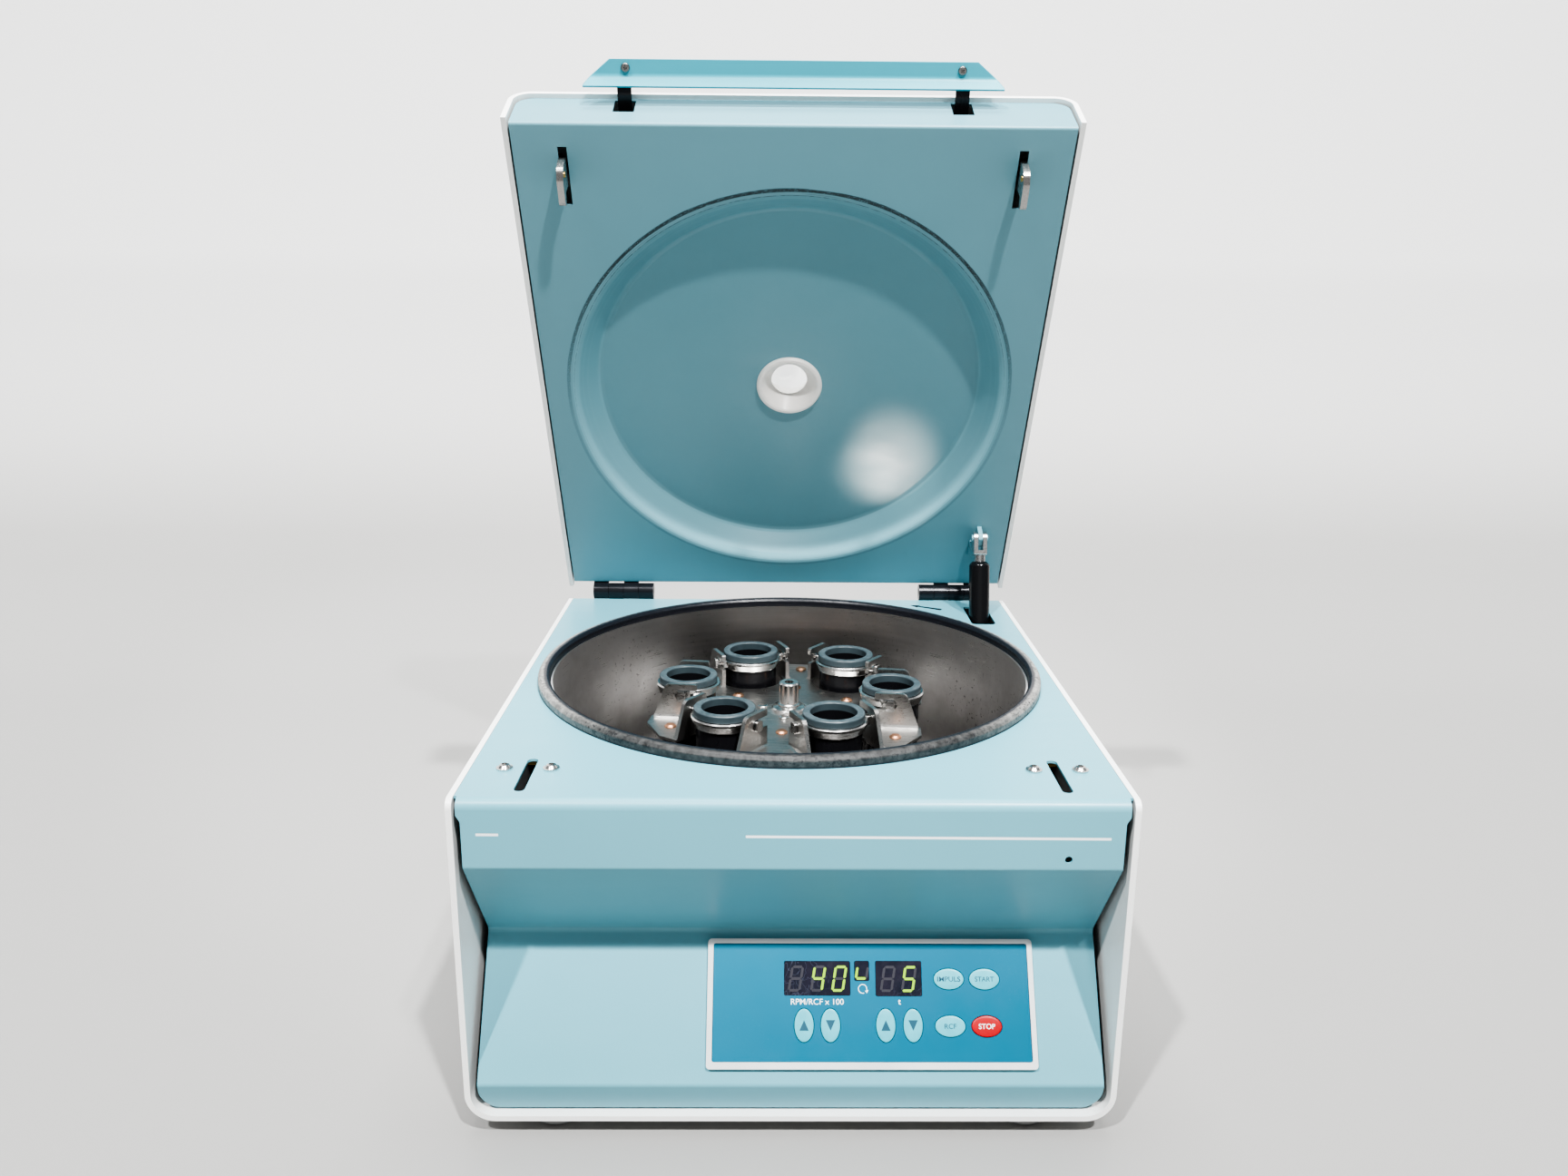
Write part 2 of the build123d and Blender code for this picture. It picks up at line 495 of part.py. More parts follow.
port = turned([(24.5, 27.95), (24.5, 26.8), (23.3, 25.2), (21.6, 25.0), (20.2, 25.7), (13.4, 35.5), (13.4, 36.0), (14.4, 36.0),
               (14.4, 38.1), (13.6, 38.1), (17.6, LID_TOP), (19.8, LID_TOP), (19.8, 27.95)])
save("port_ring", opened(port))
save("port_window", opened(turned([(0, 36.05), (14.35, 36.05), (14.35, 38.05), (0, 38.05)])))
save("hinge_lid_leaves", *[opened(l) for l in leaf])

# bright tab for the strut with its pin
tab = prism_x([(334.5, PANEL_Z), (334.5, -1), (337, -4.2), (344, -4.2), (347.5, -1), (352, 7.3), (363, 7.3), (363, PANEL_Z)],
              153.8, 157.2, [0, 1, 2, 2, 1, 0.5, 0, 0])
tab += box(149.5, 161.5, 349, 364, 7.2, PANEL_Z)
tab += cyl_x(149.0, 162.0, STRUT_UP[0], STRUT_UP[1], 3.0)
save("strut_tab", opened(tab))

# bearing blocks of the cross shaft
blocks = []
for sx in (-1, 1):
    b = prism_x([(42, PANEL_Z + PT + 0.02), (58, PANEL_Z + PT + 0.02), (58, 44.5), (42, 44.5)],
                sx * 158 - 5, sx * 158 + 5, [0, 0, 4, 4])
    blocks.append(opened(b - cyl_x(sx * 158 - 7, sx * 158 + 7, SHAFT_Y, SHAFT_Z, 4.05)))
save("shaft_blocks", *blocks)

# ================================================================ handle with hooks
o, r = strip([(-4.0, 36.6), (-8.0, 43.0), (-17.7, 45.0)], -1.6, [0, 4.0, 0])
bar = prism_x(o, -134.2, 134.2, r)
for sx in (-1, 1):
    bar -= prism_z([(sx * 134.2, -4.0), (sx * 116.7, -17.7), (sx * 112.7, -21.7), (sx * 140, -21.7), (sx * 140, 5.5)], 30, 50)
save("handle_bar", opened(bar))

brackets = []
for sx in (-1, 1):
    o, r = strip([(52.0, 38.0), (14, 42.2), (3, 43.2), (-7.0, 47.2), (-15.5, 48.95)], 2.4, [0, 2, 3, 3, 0])
    b = prism_x(o, sx * 108.5 - 4.5, sx * 108.5 + 4.5, r)
    b += cyl_x(sx * 108.5 - 4.5, sx * 108.5 + 4.5, SHAFT_Y, SHAFT_Z, 7.0)
    b -= cyl_x(sx * 108.5 - 6, sx * 108.5 + 6, SHAFT_Y, SHAFT_Z, 4.0)
    brackets.append(opened(b))
save("handle_brackets", *brackets)

save("lock_shaft", opened(cyl_x(-162, 162, SHAFT_Y, SHAFT_Z, 4.0)))

hooks = []
for sx in (-1, 1):
    h = prism_x([(42, 45), (58, 45), (58.5, 30), (52, 14), (48, 4), (47.5, -5.2), (54.5, -7.0), (54.5, -10), (52, -11.6),
                 (38, -11.6), (31.5, -8), (29, 4), (33, 14), (41.5, 30)],
                sx * 146.9 - 2.1, sx * 146.9 + 2.1, [6, 6, 4, 4, 3, 1.2, 0.6, 1, 1, 5, 5, 6, 5, 5])
    h -= cyl_x(sx * 146.9 - 3, sx * 146.9 + 3, SHAFT_Y, SHAFT_Z, 4.0)
    hooks.append(opened(h))
save("lock_hooks", *hooks)

# ================================================================ gas strut
uy, uz = opened_point(*STRUT_UP)
L_OPEN = math.hypot(uy - STRUT_LO[0], uz - STRUT_LO[1])
PHI = math.degrees(math.atan2(uy - STRUT_LO[0], uz - STRUT_LO[1]))
L_SHUT = math.hypot(STRUT_UP[0] - STRUT_LO[0], STRUT_UP[1] - STRUT_LO[1])
PHI_SHUT = math.degrees(math.atan2(STRUT_UP[0] - STRUT_LO[0], STRUT_UP[1] - STRUT_LO[1]))
STRUT = Pos(STRUT_X, uy, uz) * Rot(-PHI, 0, 0)      # local -z runs down the strut

fork = prism_x([(-5.5, 0), (-5.5, 5.5), (5.5, 5.5), (5.5, 0), (5.5, -13.5), (-5.5, -13.5)], -5.2, 5.2, [0, 5.49, 5.49, 0, 1.5, 1.5])
fork -= box(-2.0, 2.0, -7, 7, -9.5, 7)
fork -= cyl_x(-9, 9, 0, 0, 3.05)
fork += cyl_z(0, 0, -18.5, -13.4, 4.5)
save("strut_fork", STRUT * fork)

TUBE_END = -110.5
tube = turned([(0, -18.52), (5.5, -18.52), (8.2, -21.3), (8.2, TUBE_END), (3.08, TUBE_END), (3.08, TUBE_END + 6), (7.2, TUBE_END + 6),
               (7.2, -25.5), (0, -25.5)], [0, 1.5, 3, 1.5, 0, 0, 0, 0, 0], 0, 0)
save("strut_tube", STRUT * tube)

rod = cyl_z(0, 0, -L_OPEN + 5, -99.0, 3.0) + cyl_z(0, 0, -104.0, -98.0, 7.1)
rod += cyl_x(-4, 4, 0, -L_OPEN, 7.0)
rod -= Pos(0, 0, -L_OPEN) * Rot(0, 90, 0) * Cylinder(3.3, 12)
save("strut_rod", STRUT * rod)

# ---------------------------------------------------------------- numbers for the record
lo = [min(getattr(b[0], a) for b in BOXES) for a in "XYZ"]
hi = [max(getattr(b[1], a) for b in BOXES) for a in "XYZ"]
print("box", [round(v, 3) for v in lo], [round(v, 3) for v in hi])
print("hinge", 0, HINGE_Y - YC, HINGE_Z + ZF)
sy, sz = opened_point(SHAFT_Y, SHAFT_Z)
print("handle shaft", sy - YC, sz + ZF)
print("strut up", STRUT_X, uy - YC, uz + ZF, "phi", PHI, "phi shut", PHI_SHUT, "L", L_OPEN, L_SHUT)
print("rotor", 0, CY - YC, PIVOT_Z + ZF)
print("rocker", RKX, RKY - YC, INZ + ZF)
print("slope", REC_Y - YC, REC_Z + ZF, _d)
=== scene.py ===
import bpy
import bmesh
import math
from mathutils import Vector, Matrix


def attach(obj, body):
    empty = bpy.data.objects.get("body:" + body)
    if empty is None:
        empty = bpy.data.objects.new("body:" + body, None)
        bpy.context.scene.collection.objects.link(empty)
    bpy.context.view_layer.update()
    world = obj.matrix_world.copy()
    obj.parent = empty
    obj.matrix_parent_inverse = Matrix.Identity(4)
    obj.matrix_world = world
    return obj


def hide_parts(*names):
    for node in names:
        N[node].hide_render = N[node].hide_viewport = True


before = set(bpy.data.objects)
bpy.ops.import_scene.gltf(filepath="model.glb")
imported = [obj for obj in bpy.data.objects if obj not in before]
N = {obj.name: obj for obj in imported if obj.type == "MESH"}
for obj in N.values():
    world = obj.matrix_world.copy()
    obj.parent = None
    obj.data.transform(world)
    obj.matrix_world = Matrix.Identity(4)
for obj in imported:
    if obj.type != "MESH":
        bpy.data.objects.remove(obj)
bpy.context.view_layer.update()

# ------------------------------------------------------------------ frame
# pieces are laid out in mm: x right, y back (0 = front edge), z up (0 = top plate)
YC, ZF = 221.861882780114, 205.8
HY, HZ = 404.9, 5.84                 # lid hinge axis
TH = math.radians(61.9)              # lid at rest stands open by this angle
CY = 213.3                           # rotor and chamber axis


def P(x, y, z):
    return Vector((x / 1000, (y - YC) / 1000, (z + ZF) / 1000))


MM = Matrix.Translation(P(0, 0, 0)) @ Matrix.Scale(0.001, 4)          # mm layout to the row frame
HP = P(0, HY, HZ)
OPEN = Matrix.Translation(HP) @ Matrix.Rotation(-TH, 4, "X") @ Matrix.Translation(-HP)
LIDM = OPEN @ MM                                                       # closed-lid mm to the row frame
SD = (-0.5421268698220931, -0.8402966482242442)                        # down the control slope (y, z)


def slope(x, t, h):
    """mm frame on the control slope: local x right, y up the slope, z out of it."""
    y = 46.0 + SD[0] * t + SD[1] * h
    z = -101.4 + SD[1] * t - SD[0] * h
    return MM @ Matrix(((1, 0, 0, x), (0, -SD[0], SD[1], y), (0, -SD[1], -SD[0], z), (0, 0, 0, 1)))


def lin(*c):
    return tuple((v / 255 / 12.92) if v <= 10.3 else (((v / 255) + 0.055) / 1.055) ** 2.4 for v in c)


# ------------------------------------------------------------------ shading helpers
class Shade:
    def __init__(self, name, base=(0.8, 0.8, 0.8), rough=0.5, metal=0.0, **fixed):
        self.m = bpy.data.materials.new(name)
        self.m.use_nodes = True
        self.t = self.m.node_tree
        self.t.nodes.clear()
        self.out = self.t.nodes.new("ShaderNodeOutputMaterial")
        self.b = self.t.nodes.new("ShaderNodeBsdfPrincipled")
        self.t.links.new(self.b.outputs[0], self.out.inputs[0])
        self.set("Base Color", base)
        self.set("Roughness", rough)
        self.set("Metallic", metal)
        for k, v in fixed.items():
            self.set(k.replace("_", " "), v)
        self.m.diffuse_color = (*[min(1, max(0, c)) for c in (base if isinstance(base, tuple) else (0.8, 0.8, 0.8))][:3], 1)

    def put(self, sock, v):
        if isinstance(v, bpy.types.NodeSocket):
            self.t.links.new(v, sock)
        elif isinstance(v, (tuple, list, Vector)):
            n = len(sock.default_value)
            v = tuple(v)
            sock.default_value = v if len(v) == n else (v + (1.0,) * (n - len(v)))[:n]
        else:
            sock.default_value = v

    def set(self, name, v):
        self.put(self.b.inputs[name], v)

    def node(self, kind, ins=None, **props):
        n = self.t.nodes.new("ShaderNode" + kind)
        for k, v in props.items():
            setattr(n, k, v)
        for k, v in (ins or {}).items():
            self.put(n.inputs[k], v)
        return n

    def obj(self):
        return self.node("TexCoord").outputs["Object"]

    def rest_closed(self):
        """object coordinates turned back to where the piece is with the lid shut"""
        r = Matrix.Rotation(TH, 3, "X")
        loc = HP - r @ HP
        return self.node("Mapping", {"Vector": self.obj(), "Location": tuple(loc), "Rotation": (TH, 0, 0)}).outputs[0]

    def moved(self, v, loc=(0, 0, 0), rot=(0, 0, 0), sc=(1, 1, 1)):
        return self.node("Mapping", {"Vector": v, "Location": loc, "Rotation": rot, "Scale": sc}).outputs[0]

    def noise(self, v, scale, detail=2.0, rough=0.5, dist=0.0):
        return self.node("TexNoise", {"Vector": v, "Scale": scale, "Detail": detail, "Roughness": rough, "Distortion": dist}).outputs["Fac"]

    def voro(self, v, scale, out="Distance", feature="F1", rand=1.0):
        return self.node("TexVoronoi", {"Vector": v, "Scale": scale, "Randomness": rand}, feature=feature).outputs[out]

    def mr(self, v, a, b, c=0.0, d=1.0, kind="LINEAR"):
        return self.node("MapRange", {"Value": v, "From Min": a, "From Max": b, "To Min": c, "To Max": d}, interpolation_type=kind).outputs[0]

    def band(self, v, a, b, soft):
        """1 between a and b, fading over soft"""
        return self.op("MULTIPLY", self.mr(v, a - soft, a + soft), self.mr(v, b - soft, b + soft, 1.0, 0.0))

    def op(self, op, a, b=0.0, c=0.0, clamp=False):
        n = self.node("Math", operation=op, use_clamp=clamp)
        self.put(n.inputs[0], a)
        self.put(n.inputs[1], b)
        self.put(n.inputs[2], c)
        return n.outputs[0]

    def mul(self, *vs):
        r = vs[0]
        for v in vs[1:]:
            r = self.op("MULTIPLY", r, v)
        return r

    def add(self, *vs):
        r = vs[0]
        for v in vs[1:]:
            r = self.op("ADD", r, v)
        return r

    def mix(self, f, a, b, mode="MIX"):
        n = self.node("Mix", data_type="RGBA", blend_type=mode)
        self.put(n.inputs[0], f)
        self.put(n.inputs[6], a)
        self.put(n.inputs[7], b)
        return n.outputs[2]

    def mixf(self, f, a, b):
        n = self.node("Mix", data_type="FLOAT")
        self.put(n.inputs[0], f)
        self.put(n.inputs[2], a)
        self.put(n.inputs[3], b)
        return n.outputs[0]

    def sep(self, v):
        n = self.node("SeparateXYZ", {0: v})
        return n.outputs[0], n.outputs[1], n.outputs[2]

    def comb(self, x, y, z):
        return self.node("CombineXYZ", {0: x, 1: y, 2: z}).outputs[0]

    def polar(self, v, cx=0.0, cy=(CY - YC) / 1000):
        """radius, angle, height about a vertical axis"""
        x, y, z = self.sep(v)
        dx, dy = self.op("SUBTRACT", x, cx), self.op("SUBTRACT", y, cy)
        r = self.op("SQRT", self.add(self.op("MULTIPLY", dx, dx), self.op("MULTIPLY", dy, dy)))
        return r, self.op("ARCTAN2", dy, dx), z

    def bump(self, *layers):
        """layers of (height socket, metres of height)"""
        nrm = None
        for h, d in layers:
            n = self.node("Bump", {"Height": h, "Distance": d, "Strength": 1.0})
            if nrm is not None:
                self.put(n.inputs["Normal"], nrm)
            nrm = n.outputs[0]
        self.set("Normal", nrm)
        return nrm

    def scratches(self, v, seed, scale=30.0, thin=90.0, width=0.012, density=0.55):
        """sparse straight fine scratches in three directions"""
        total = None
        for i, ang in enumerate((0.35, 1.35, 2.3)):
            w = self.moved(v, (seed + i * 3.1, seed * 0.7, i * 1.7), (0.3 * i, 0.2, ang), (scale, scale / thin * 6, scale))
            n = self.noise(w, 4.0, 1.0, 0.5)
            line = self.mr(self.op("ABSOLUTE", self.op("SUBTRACT", n, 0.5)), 0.0, width, 1.0, 0.0)
            gate = self.mr(self.noise(self.moved(v, (seed + 5 * i, 0, 0)), 14.0, 2.0), density, density + 0.08)
            k = self.mul(line, gate)
            total = k if total is None else self.op("MAXIMUM", total, k)
        return total


def give(node, shade, slot=None):
    o = N[node]
    o.data.materials.clear()
    o.data.materials.append(shade.m)
    for p in o.data.polygons:
        p.material_index = 0


def scaled(c, k):
    return tuple(min(1.0, v * k) for v in c)


# ------------------------------------------------------------------ enamel
TEAL = (0.150, 0.375, 0.445)
TEAL_HANDLE = (0.055, 0.350, 0.430)
# the lid's inner sheet takes a darker, greyer copy of the teal enamel: painted shade
TEAL_LID_SHADED = (0.152, 0.325, 0.380)
WHITE = (0.83, 0.83, 0.815)


def enamel(name, colour, rough=0.36, lid=False, seed=0.0, peel=1.0, wear=1.0):
    s = Shade(name, colour, rough, Specular_IOR_Level=0.42, IOR=1.5, Coat_Weight=0.06, Coat_Roughness=0.3)
    v = s.rest_closed() if lid else s.obj()
    s.v = v
    big = s.noise(s.moved(v, (seed, 0, 0)), 7.0, 3.0)
    col = s.mix(s.mr(big, 0.35, 0.65), scaled(colour, 0.975), scaled(colour, 1.02))
    smear = s.noise(s.moved(v, (0, seed, 0), (0, 0, 0.5), (1, 3, 1)), 26.0, 4.0, 0.6)
    speck = s.mul(s.mr(s.voro(v, 190.0), 0.025, 0.045, 1.0, 0.0), s.mr(s.noise(v, 31.0, 1.0), 0.66, 0.70))
    col = s.mix(s.mul(speck, 0.30 * wear), col, scaled(colour, 0.45))
    sc = s.scratches(v, 2.0 + seed, 85.0, 160.0, 0.006, 0.64)
    col = s.mix(s.mul(sc, 0.12 * wear), col, scaled(colour, 1.2))
    s.col = col
    s.set("Base Color", col)
    s.rough = s.add(s.mr(smear, 0.3, 0.7, rough + 0.02, rough + 0.09), s.mul(sc, 0.06))
    s.set("Roughness", s.rough)
    peel1 = s.noise(v, 620.0, 2.0, 0.55)
    peel2 = s.noise(v, 150.0, 1.0, 0.5)
    s.bump((peel2, 0.00005 * peel), (peel1, 0.000024 * peel), (sc, -0.000006 * wear))
    return s


white_wrap = enamel("white_enamel", WHITE, 0.34, seed=1.0)
white_lid = enamel("white_enamel_lid", WHITE, 0.34, lid=True, seed=2.0)
give("side_wrap", white_wrap)
give("lid_shell", white_lid)

# front and top cover: the same enamel with two thin white stripes on the fascia
cover = enamel("teal_enamel_cover", TEAL, 0.33, seed=3.0)
x, y, z = cover.sep(cover.v)
front = cover.mr(y, (0.4 - YC) / 1000, (0.6 - YC) / 1000, 1.0, 0.0)
zt = cover.add(z, cover.mul(cover.op("SUBTRACT", x, -0.168), 0.0044))
line = cover.band(zt, (ZF - 20.25 + 0.0) / 1000, (ZF - 18.8) / 1000, 0.00006)
spans = cover.add(cover.band(x, -0.1677, -0.1558, 0.0001), cover.band(x, -0.0255, 0.1680, 0.0001))
stripe = cover.mul(front, line, spans)
cover.set("Base Color", cover.mix(stripe, cover.col, (0.80, 0.83, 0.84)))
give("front_top_cover", cover)

# inner sheet of the lid: a rubbed, granular black line round the rim of the dish, a thin broken one
# inside it, faint turned lines on the dish wall, and painted light: a paler band on the lower half of the dish wall
# colour of the lid sheet: the darker copy of the teal, painted shade
panel = enamel("teal_enamel_lid", TEAL_LID_SHADED, 0.34, lid=True, seed=5.0, peel=0.8)
r, a, h = panel.polar(panel.v)
sa = panel.op("SINE", a)
ca = panel.op("COSINE", a)
top = panel.mr(sa, -0.65, 0.10, 1.0, 0.22)
wob = panel.noise(panel.comb(panel.mul(ca, 1.3), panel.mul(sa, 1.3), 0.0), 3.0, 3.0)
arc = panel.noise(panel.comb(panel.mul(r, 2600.0), panel.mul(ca, 42.0), panel.mul(sa, 42.0)), 1.0, 3.0, 0.6)
grain = panel.noise(panel.v, 1500.0, 3.0, 0.6)
wide = panel.mul(panel.mr(r, 0.16060, 0.16095), panel.mr(panel.add(r, panel.mul(wob, 0.0020)), 0.1640, 0.1646, 1.0, 0.0))
ring1 = panel.mul(wide, panel.mr(panel.add(arc, grain), 0.72, 0.94), top)
ring2 = panel.mul(panel.band(r, 0.15790, 0.15835, 0.00020), panel.mr(arc, 0.44, 0.50), top)
ring3 = panel.mul(panel.band(r, 0.15935, 0.15960, 0.00020), panel.mr(wob, 0.50, 0.60), top, 0.6)
marks = panel.op("MINIMUM", panel.add(panel.mul(ring1, 0.95), panel.mul(ring2, 0.85), ring3), 1.0)
turned_lines = panel.add(panel.band(r, 0.1550, 0.1557, 0.0005), panel.mul(panel.band(r, 0.1522, 0.1527, 0.0004), 0.7), panel.mul(panel.band(r, 0.1490, 0.1496, 0.0005), 0.6))
col = panel.mix(panel.mul(turned_lines, 0.16), panel.col, (0.32, 0.55, 0.60))
# painted light: the dish wall is paler on its lower half, where the light falls on it
painted_lit_wall = panel.mul(panel.band(r, 0.1412, 0.1592, 0.0005), panel.mr(sa, -0.75, 0.65))
col = panel.mix(panel.mul(painted_lit_wall, 0.60), col, (0.29, 0.58, 0.66))
col = panel.mix(marks, col, (0.012, 0.022, 0.026))
panel.set("Base Color", col)
give("lid_panel", panel)

handle_paint = enamel("handle_enamel", TEAL_HANDLE, 0.34, lid=True, seed=7.0)
give("handle_bar", handle_paint)

grey_paint = enamel("grey_enamel", (0.60, 0.61, 0.61), 0.42, seed=8.0)
give("rear_panel", grey_paint)

motor_paint = enamel("motor_paint", (0.03, 0.03, 0.032), 0.45, seed=9.0)
give("motor_housing", motor_paint)

strut_paint = enamel("strut_black", (0.008, 0.008, 0.009), 0.12, seed=10.0, peel=0.3, wear=0.6)
give("strut_tube", strut_paint)


# ------------------------------------------------------------------ plastics and rubbers
def plastic(name, colour, rough=0.42, grain=900.0, depth=0.00002, lid=False, seed=0.0):
    s = Shade(name, colour, rough, Specular_IOR_Level=0.5)
    v = s.rest_closed() if lid else s.obj()
    s.v = v
    big = s.noise(s.moved(v, (seed, 0, 0)), 25.0, 3.0)
    s.col = s.mix(s.mr(big, 0.3, 0.7), scaled(colour, 0.93), scaled(colour, 1.05))
    s.set("Base Color", s.col)
    s.set("Roughness", s.mr(s.noise(v, 120.0, 3.0), 0.3, 0.7, rough - 0.06, rough + 0.07))
    s.bump((s.noise(v, grain, 3.0, 0.6), depth))
    return s


give("control_frame", plastic("frame_plastic", (0.62, 0.64, 0.64), 0.40, seed=1))
give("port_ring", plastic("port_plastic", (0.92, 0.89, 0.85), 0.38, lid=True, seed=2))
give("shaft_blocks", plastic("block_plastic", (0.025, 0.025, 0.027), 0.4, lid=True, seed=3))
black_plastic = plastic("black_plastic", (0.022, 0.022, 0.024), 0.38, seed=4)
give("mains_inlet", black_plastic)
give("mains_rocker", plastic("rocker_plastic", (0.02, 0.02, 0.022), 0.3, seed=5))
give("feet", plastic("foot_rubber", (0.30, 0.30, 0.30), 0.7, 500.0, 0.00004, seed=6))
give("motor_mounts", plastic("black_rubber", (0.02, 0.02, 0.02), 0.75, 500.0, 0.00004, seed=7))

board = plastic("board", (0.03, 0.16, 0.07), 0.35, seed=8)
give("circuit_boards", board)

# seal ring: grey bloom worn off in dark specks on the outside, black inside; the grey is lighter at the left and right
# and darker at the front and back, which is painted light and shade
seal = Shade("seal_rubber", (0.25, 0.25, 0.25), 0.55, Specular_IOR_Level=0.45)
v = seal.obj()
r, a, h = seal.polar(v)
blot = seal.noise(v, 230.0, 4.0, 0.62)
spots = seal.mr(seal.noise(v, 620.0, 2.0, 0.55, 0.4), 0.56, 0.62)
zone = seal.mr(seal.noise(v, 14.0, 2.0), 0.36, 0.62)
spots2 = seal.mul(seal.mr(seal.noise(seal.moved(v, (3, 1, 2)), 260.0, 2.0, 0.5, 0.5), 0.63, 0.68), zone)
# painted light and shade: the grey is lighter at the left and right of the ring, darker at the front and back
side = seal.mr(seal.op("ABSOLUTE", seal.op("COSINE", a)), 0.62, 0.96)
grey = seal.mix(seal.mr(blot, 0.32, 0.70), (0.016, 0.016, 0.016), (0.070, 0.070, 0.069))
grey = seal.mix(side, grey, seal.mix(seal.mr(blot, 0.32, 0.70), (0.16, 0.158, 0.15), (0.40, 0.39, 0.37)))
dark = seal.op("MAXIMUM", seal.mul(spots, seal.mixf(zone, 0.25, 0.9)), spots2)
grey = seal.mix(dark, grey, (0.012, 0.012, 0.014))
inner = seal.mr(seal.add(r, seal.mul(seal.op("SUBTRACT", blot, 0.5), 0.0015)), 0.1664, 0.1676, 1.0, 0.0)
foot = seal.mr(h, (ZF + 0.6) / 1000, (ZF + 1.6) / 1000, 1.0, 0.0)
seal.set("Base Color", seal.mix(seal.op("MAXIMUM", inner, foot), grey, (0.012, 0.013, 0.018)))
seal.set("Roughness", seal.mixf(inner, seal.mr(blot, 0.3, 0.7, 0.42, 0.62), 0.30))
seal.bump((seal.noise(v, 420.0, 3.0, 0.6), 0.00008), (dark, -0.00006))
give("chamber_seal", seal)


# ------------------------------------------------------------------ metals
def steel(name, colour=(0.62, 0.61, 0.595), rough=0.28, brush=0.6, lid=False, seed=0.0, axis=0, fine=1.0, stain=0.5, aniso=0.0):
    s = Shade(name, colour, rough, 1.0, Anisotropic=aniso)
    v = s.rest_closed() if lid else s.obj()
    s.v = v
    sc = [2600.0, 2600.0, 2600.0]
    sc[axis] = 45.0
    br = s.noise(s.moved(v, (seed, seed, 0), (0, 0, 0), tuple(sc)), 1.0, 3.0, 0.6)
    blot = s.noise(s.moved(v, (seed, 0, 0)), 45.0, 4.0, 0.65)
    film = s.mr(blot, 0.48, 0.75, 0.0, stain)
    s.col = s.mix(film, colour, scaled(colour, 0.55))
    s.set("Base Color", s.col)
    s.set("Roughness", s.add(s.mr(br, 0.3, 0.7, rough - 0.08 * fine, rough + 0.10 * fine), s.mul(film, 0.18)))
    s.bump((br, 0.000010 * brush), (s.noise(v, 300.0, 2.0), 0.00002 * brush))
    return s


# bowl: turned and brushed round the axis, dull film and dried specks lower down, painted highlights on its left and
# right sides and painted shade towards the bottom
bowl = Shade("stainless", (0.52, 0.505, 0.49), 0.33, 1.0, Anisotropic=0.35)
v = bowl.obj()
r, a, h = bowl.polar(v)
br = bowl.noise(bowl.comb(bowl.mul(a, 7.0), bowl.mul(h, 1900.0), bowl.mul(r, 1900.0)), 1.0, 3.0, 0.6)
br2 = bowl.noise(bowl.comb(bowl.mul(a, 2.0), bowl.mul(h, 260.0), bowl.mul(r, 260.0)), 1.0, 2.0, 0.5)
blot = bowl.noise(v, 26.0, 5.0, 0.65)
speck = bowl.mul(bowl.mr(bowl.noise(v, 420.0, 2.0, 0.5), 0.64, 0.70), bowl.mr(bowl.noise(v, 16.0, 2.0), 0.47, 0.62))
depth = bowl.mr(h, (ZF - 70) / 1000, (ZF - 10) / 1000, 1.0, 0.35)
film = bowl.mul(bowl.mr(blot, 0.40, 0.72), depth)
# painted highlight: the bowl's colour is much lighter on its left and right sides
side = bowl.mr(bowl.op("ABSOLUTE", bowl.op("COSINE", a)), 0.45, 0.95)
c0 = bowl.mix(bowl.mr(br2, 0.3, 0.7), (0.44, 0.43, 0.42), (0.50, 0.49, 0.48))
c0 = bowl.mix(side, c0, (0.92, 0.91, 0.90))
# painted shade: the bowl's colour darkens towards the bottom
c0 = bowl.mix(bowl.mr(h, (ZF - 78) / 1000, (ZF - 34) / 1000, 0.62, 0.0), c0, (0.16, 0.155, 0.15))
c0 = bowl.mix(bowl.mul(film, 0.45), c0, (0.20, 0.175, 0.16))
c0 = bowl.mix(bowl.mul(speck, depth, 0.8), c0, (0.03, 0.025, 0.02))
bowl.set("Base Color", c0)
bowl.set("Roughness", bowl.add(bowl.mr(br, 0.3, 0.7, 0.26, 0.34), bowl.mul(film, 0.14)))
bowl.set("Tangent", bowl.node("Tangent", direction_type="RADIAL", axis="Z").outputs[0])
bowl.bump((br, 0.000006), (bowl.noise(v, 60.0, 2.0), 0.00005))
give("chamber_bowl", bowl)

rotor_steel = steel("rotor_steel", (0.50, 0.49, 0.475), 0.30, 1.0, seed=1.0, axis=0, stain=0.6)
rr, ra, rz = rotor_steel.polar(rotor_steel.v)
# a paler ring round the hub on the star's top face
hub_pale_ring = rotor_steel.mul(rotor_steel.mr(rr, 0.0150, 0.0163, 1.0, 0.0), rotor_steel.mr(rz, (ZF - 28.5) / 1000, (ZF - 28.2) / 1000))
rotor_steel.set("Base Color", rotor_steel.mix(hub_pale_ring, rotor_steel.col, (0.72, 0.70, 0.68)))
give("rotor_star", rotor_steel)
give("rotor_hub", rotor_steel)
bright = steel("bright_steel", (0.66, 0.65, 0.635), 0.20, 0.7, seed=2.0, axis=2, stain=0.25)
for n in ("motor_shaft", "rotor_nut", "motor_bearings", "lock_screws", "strut_rod"):
    give(n, bright)
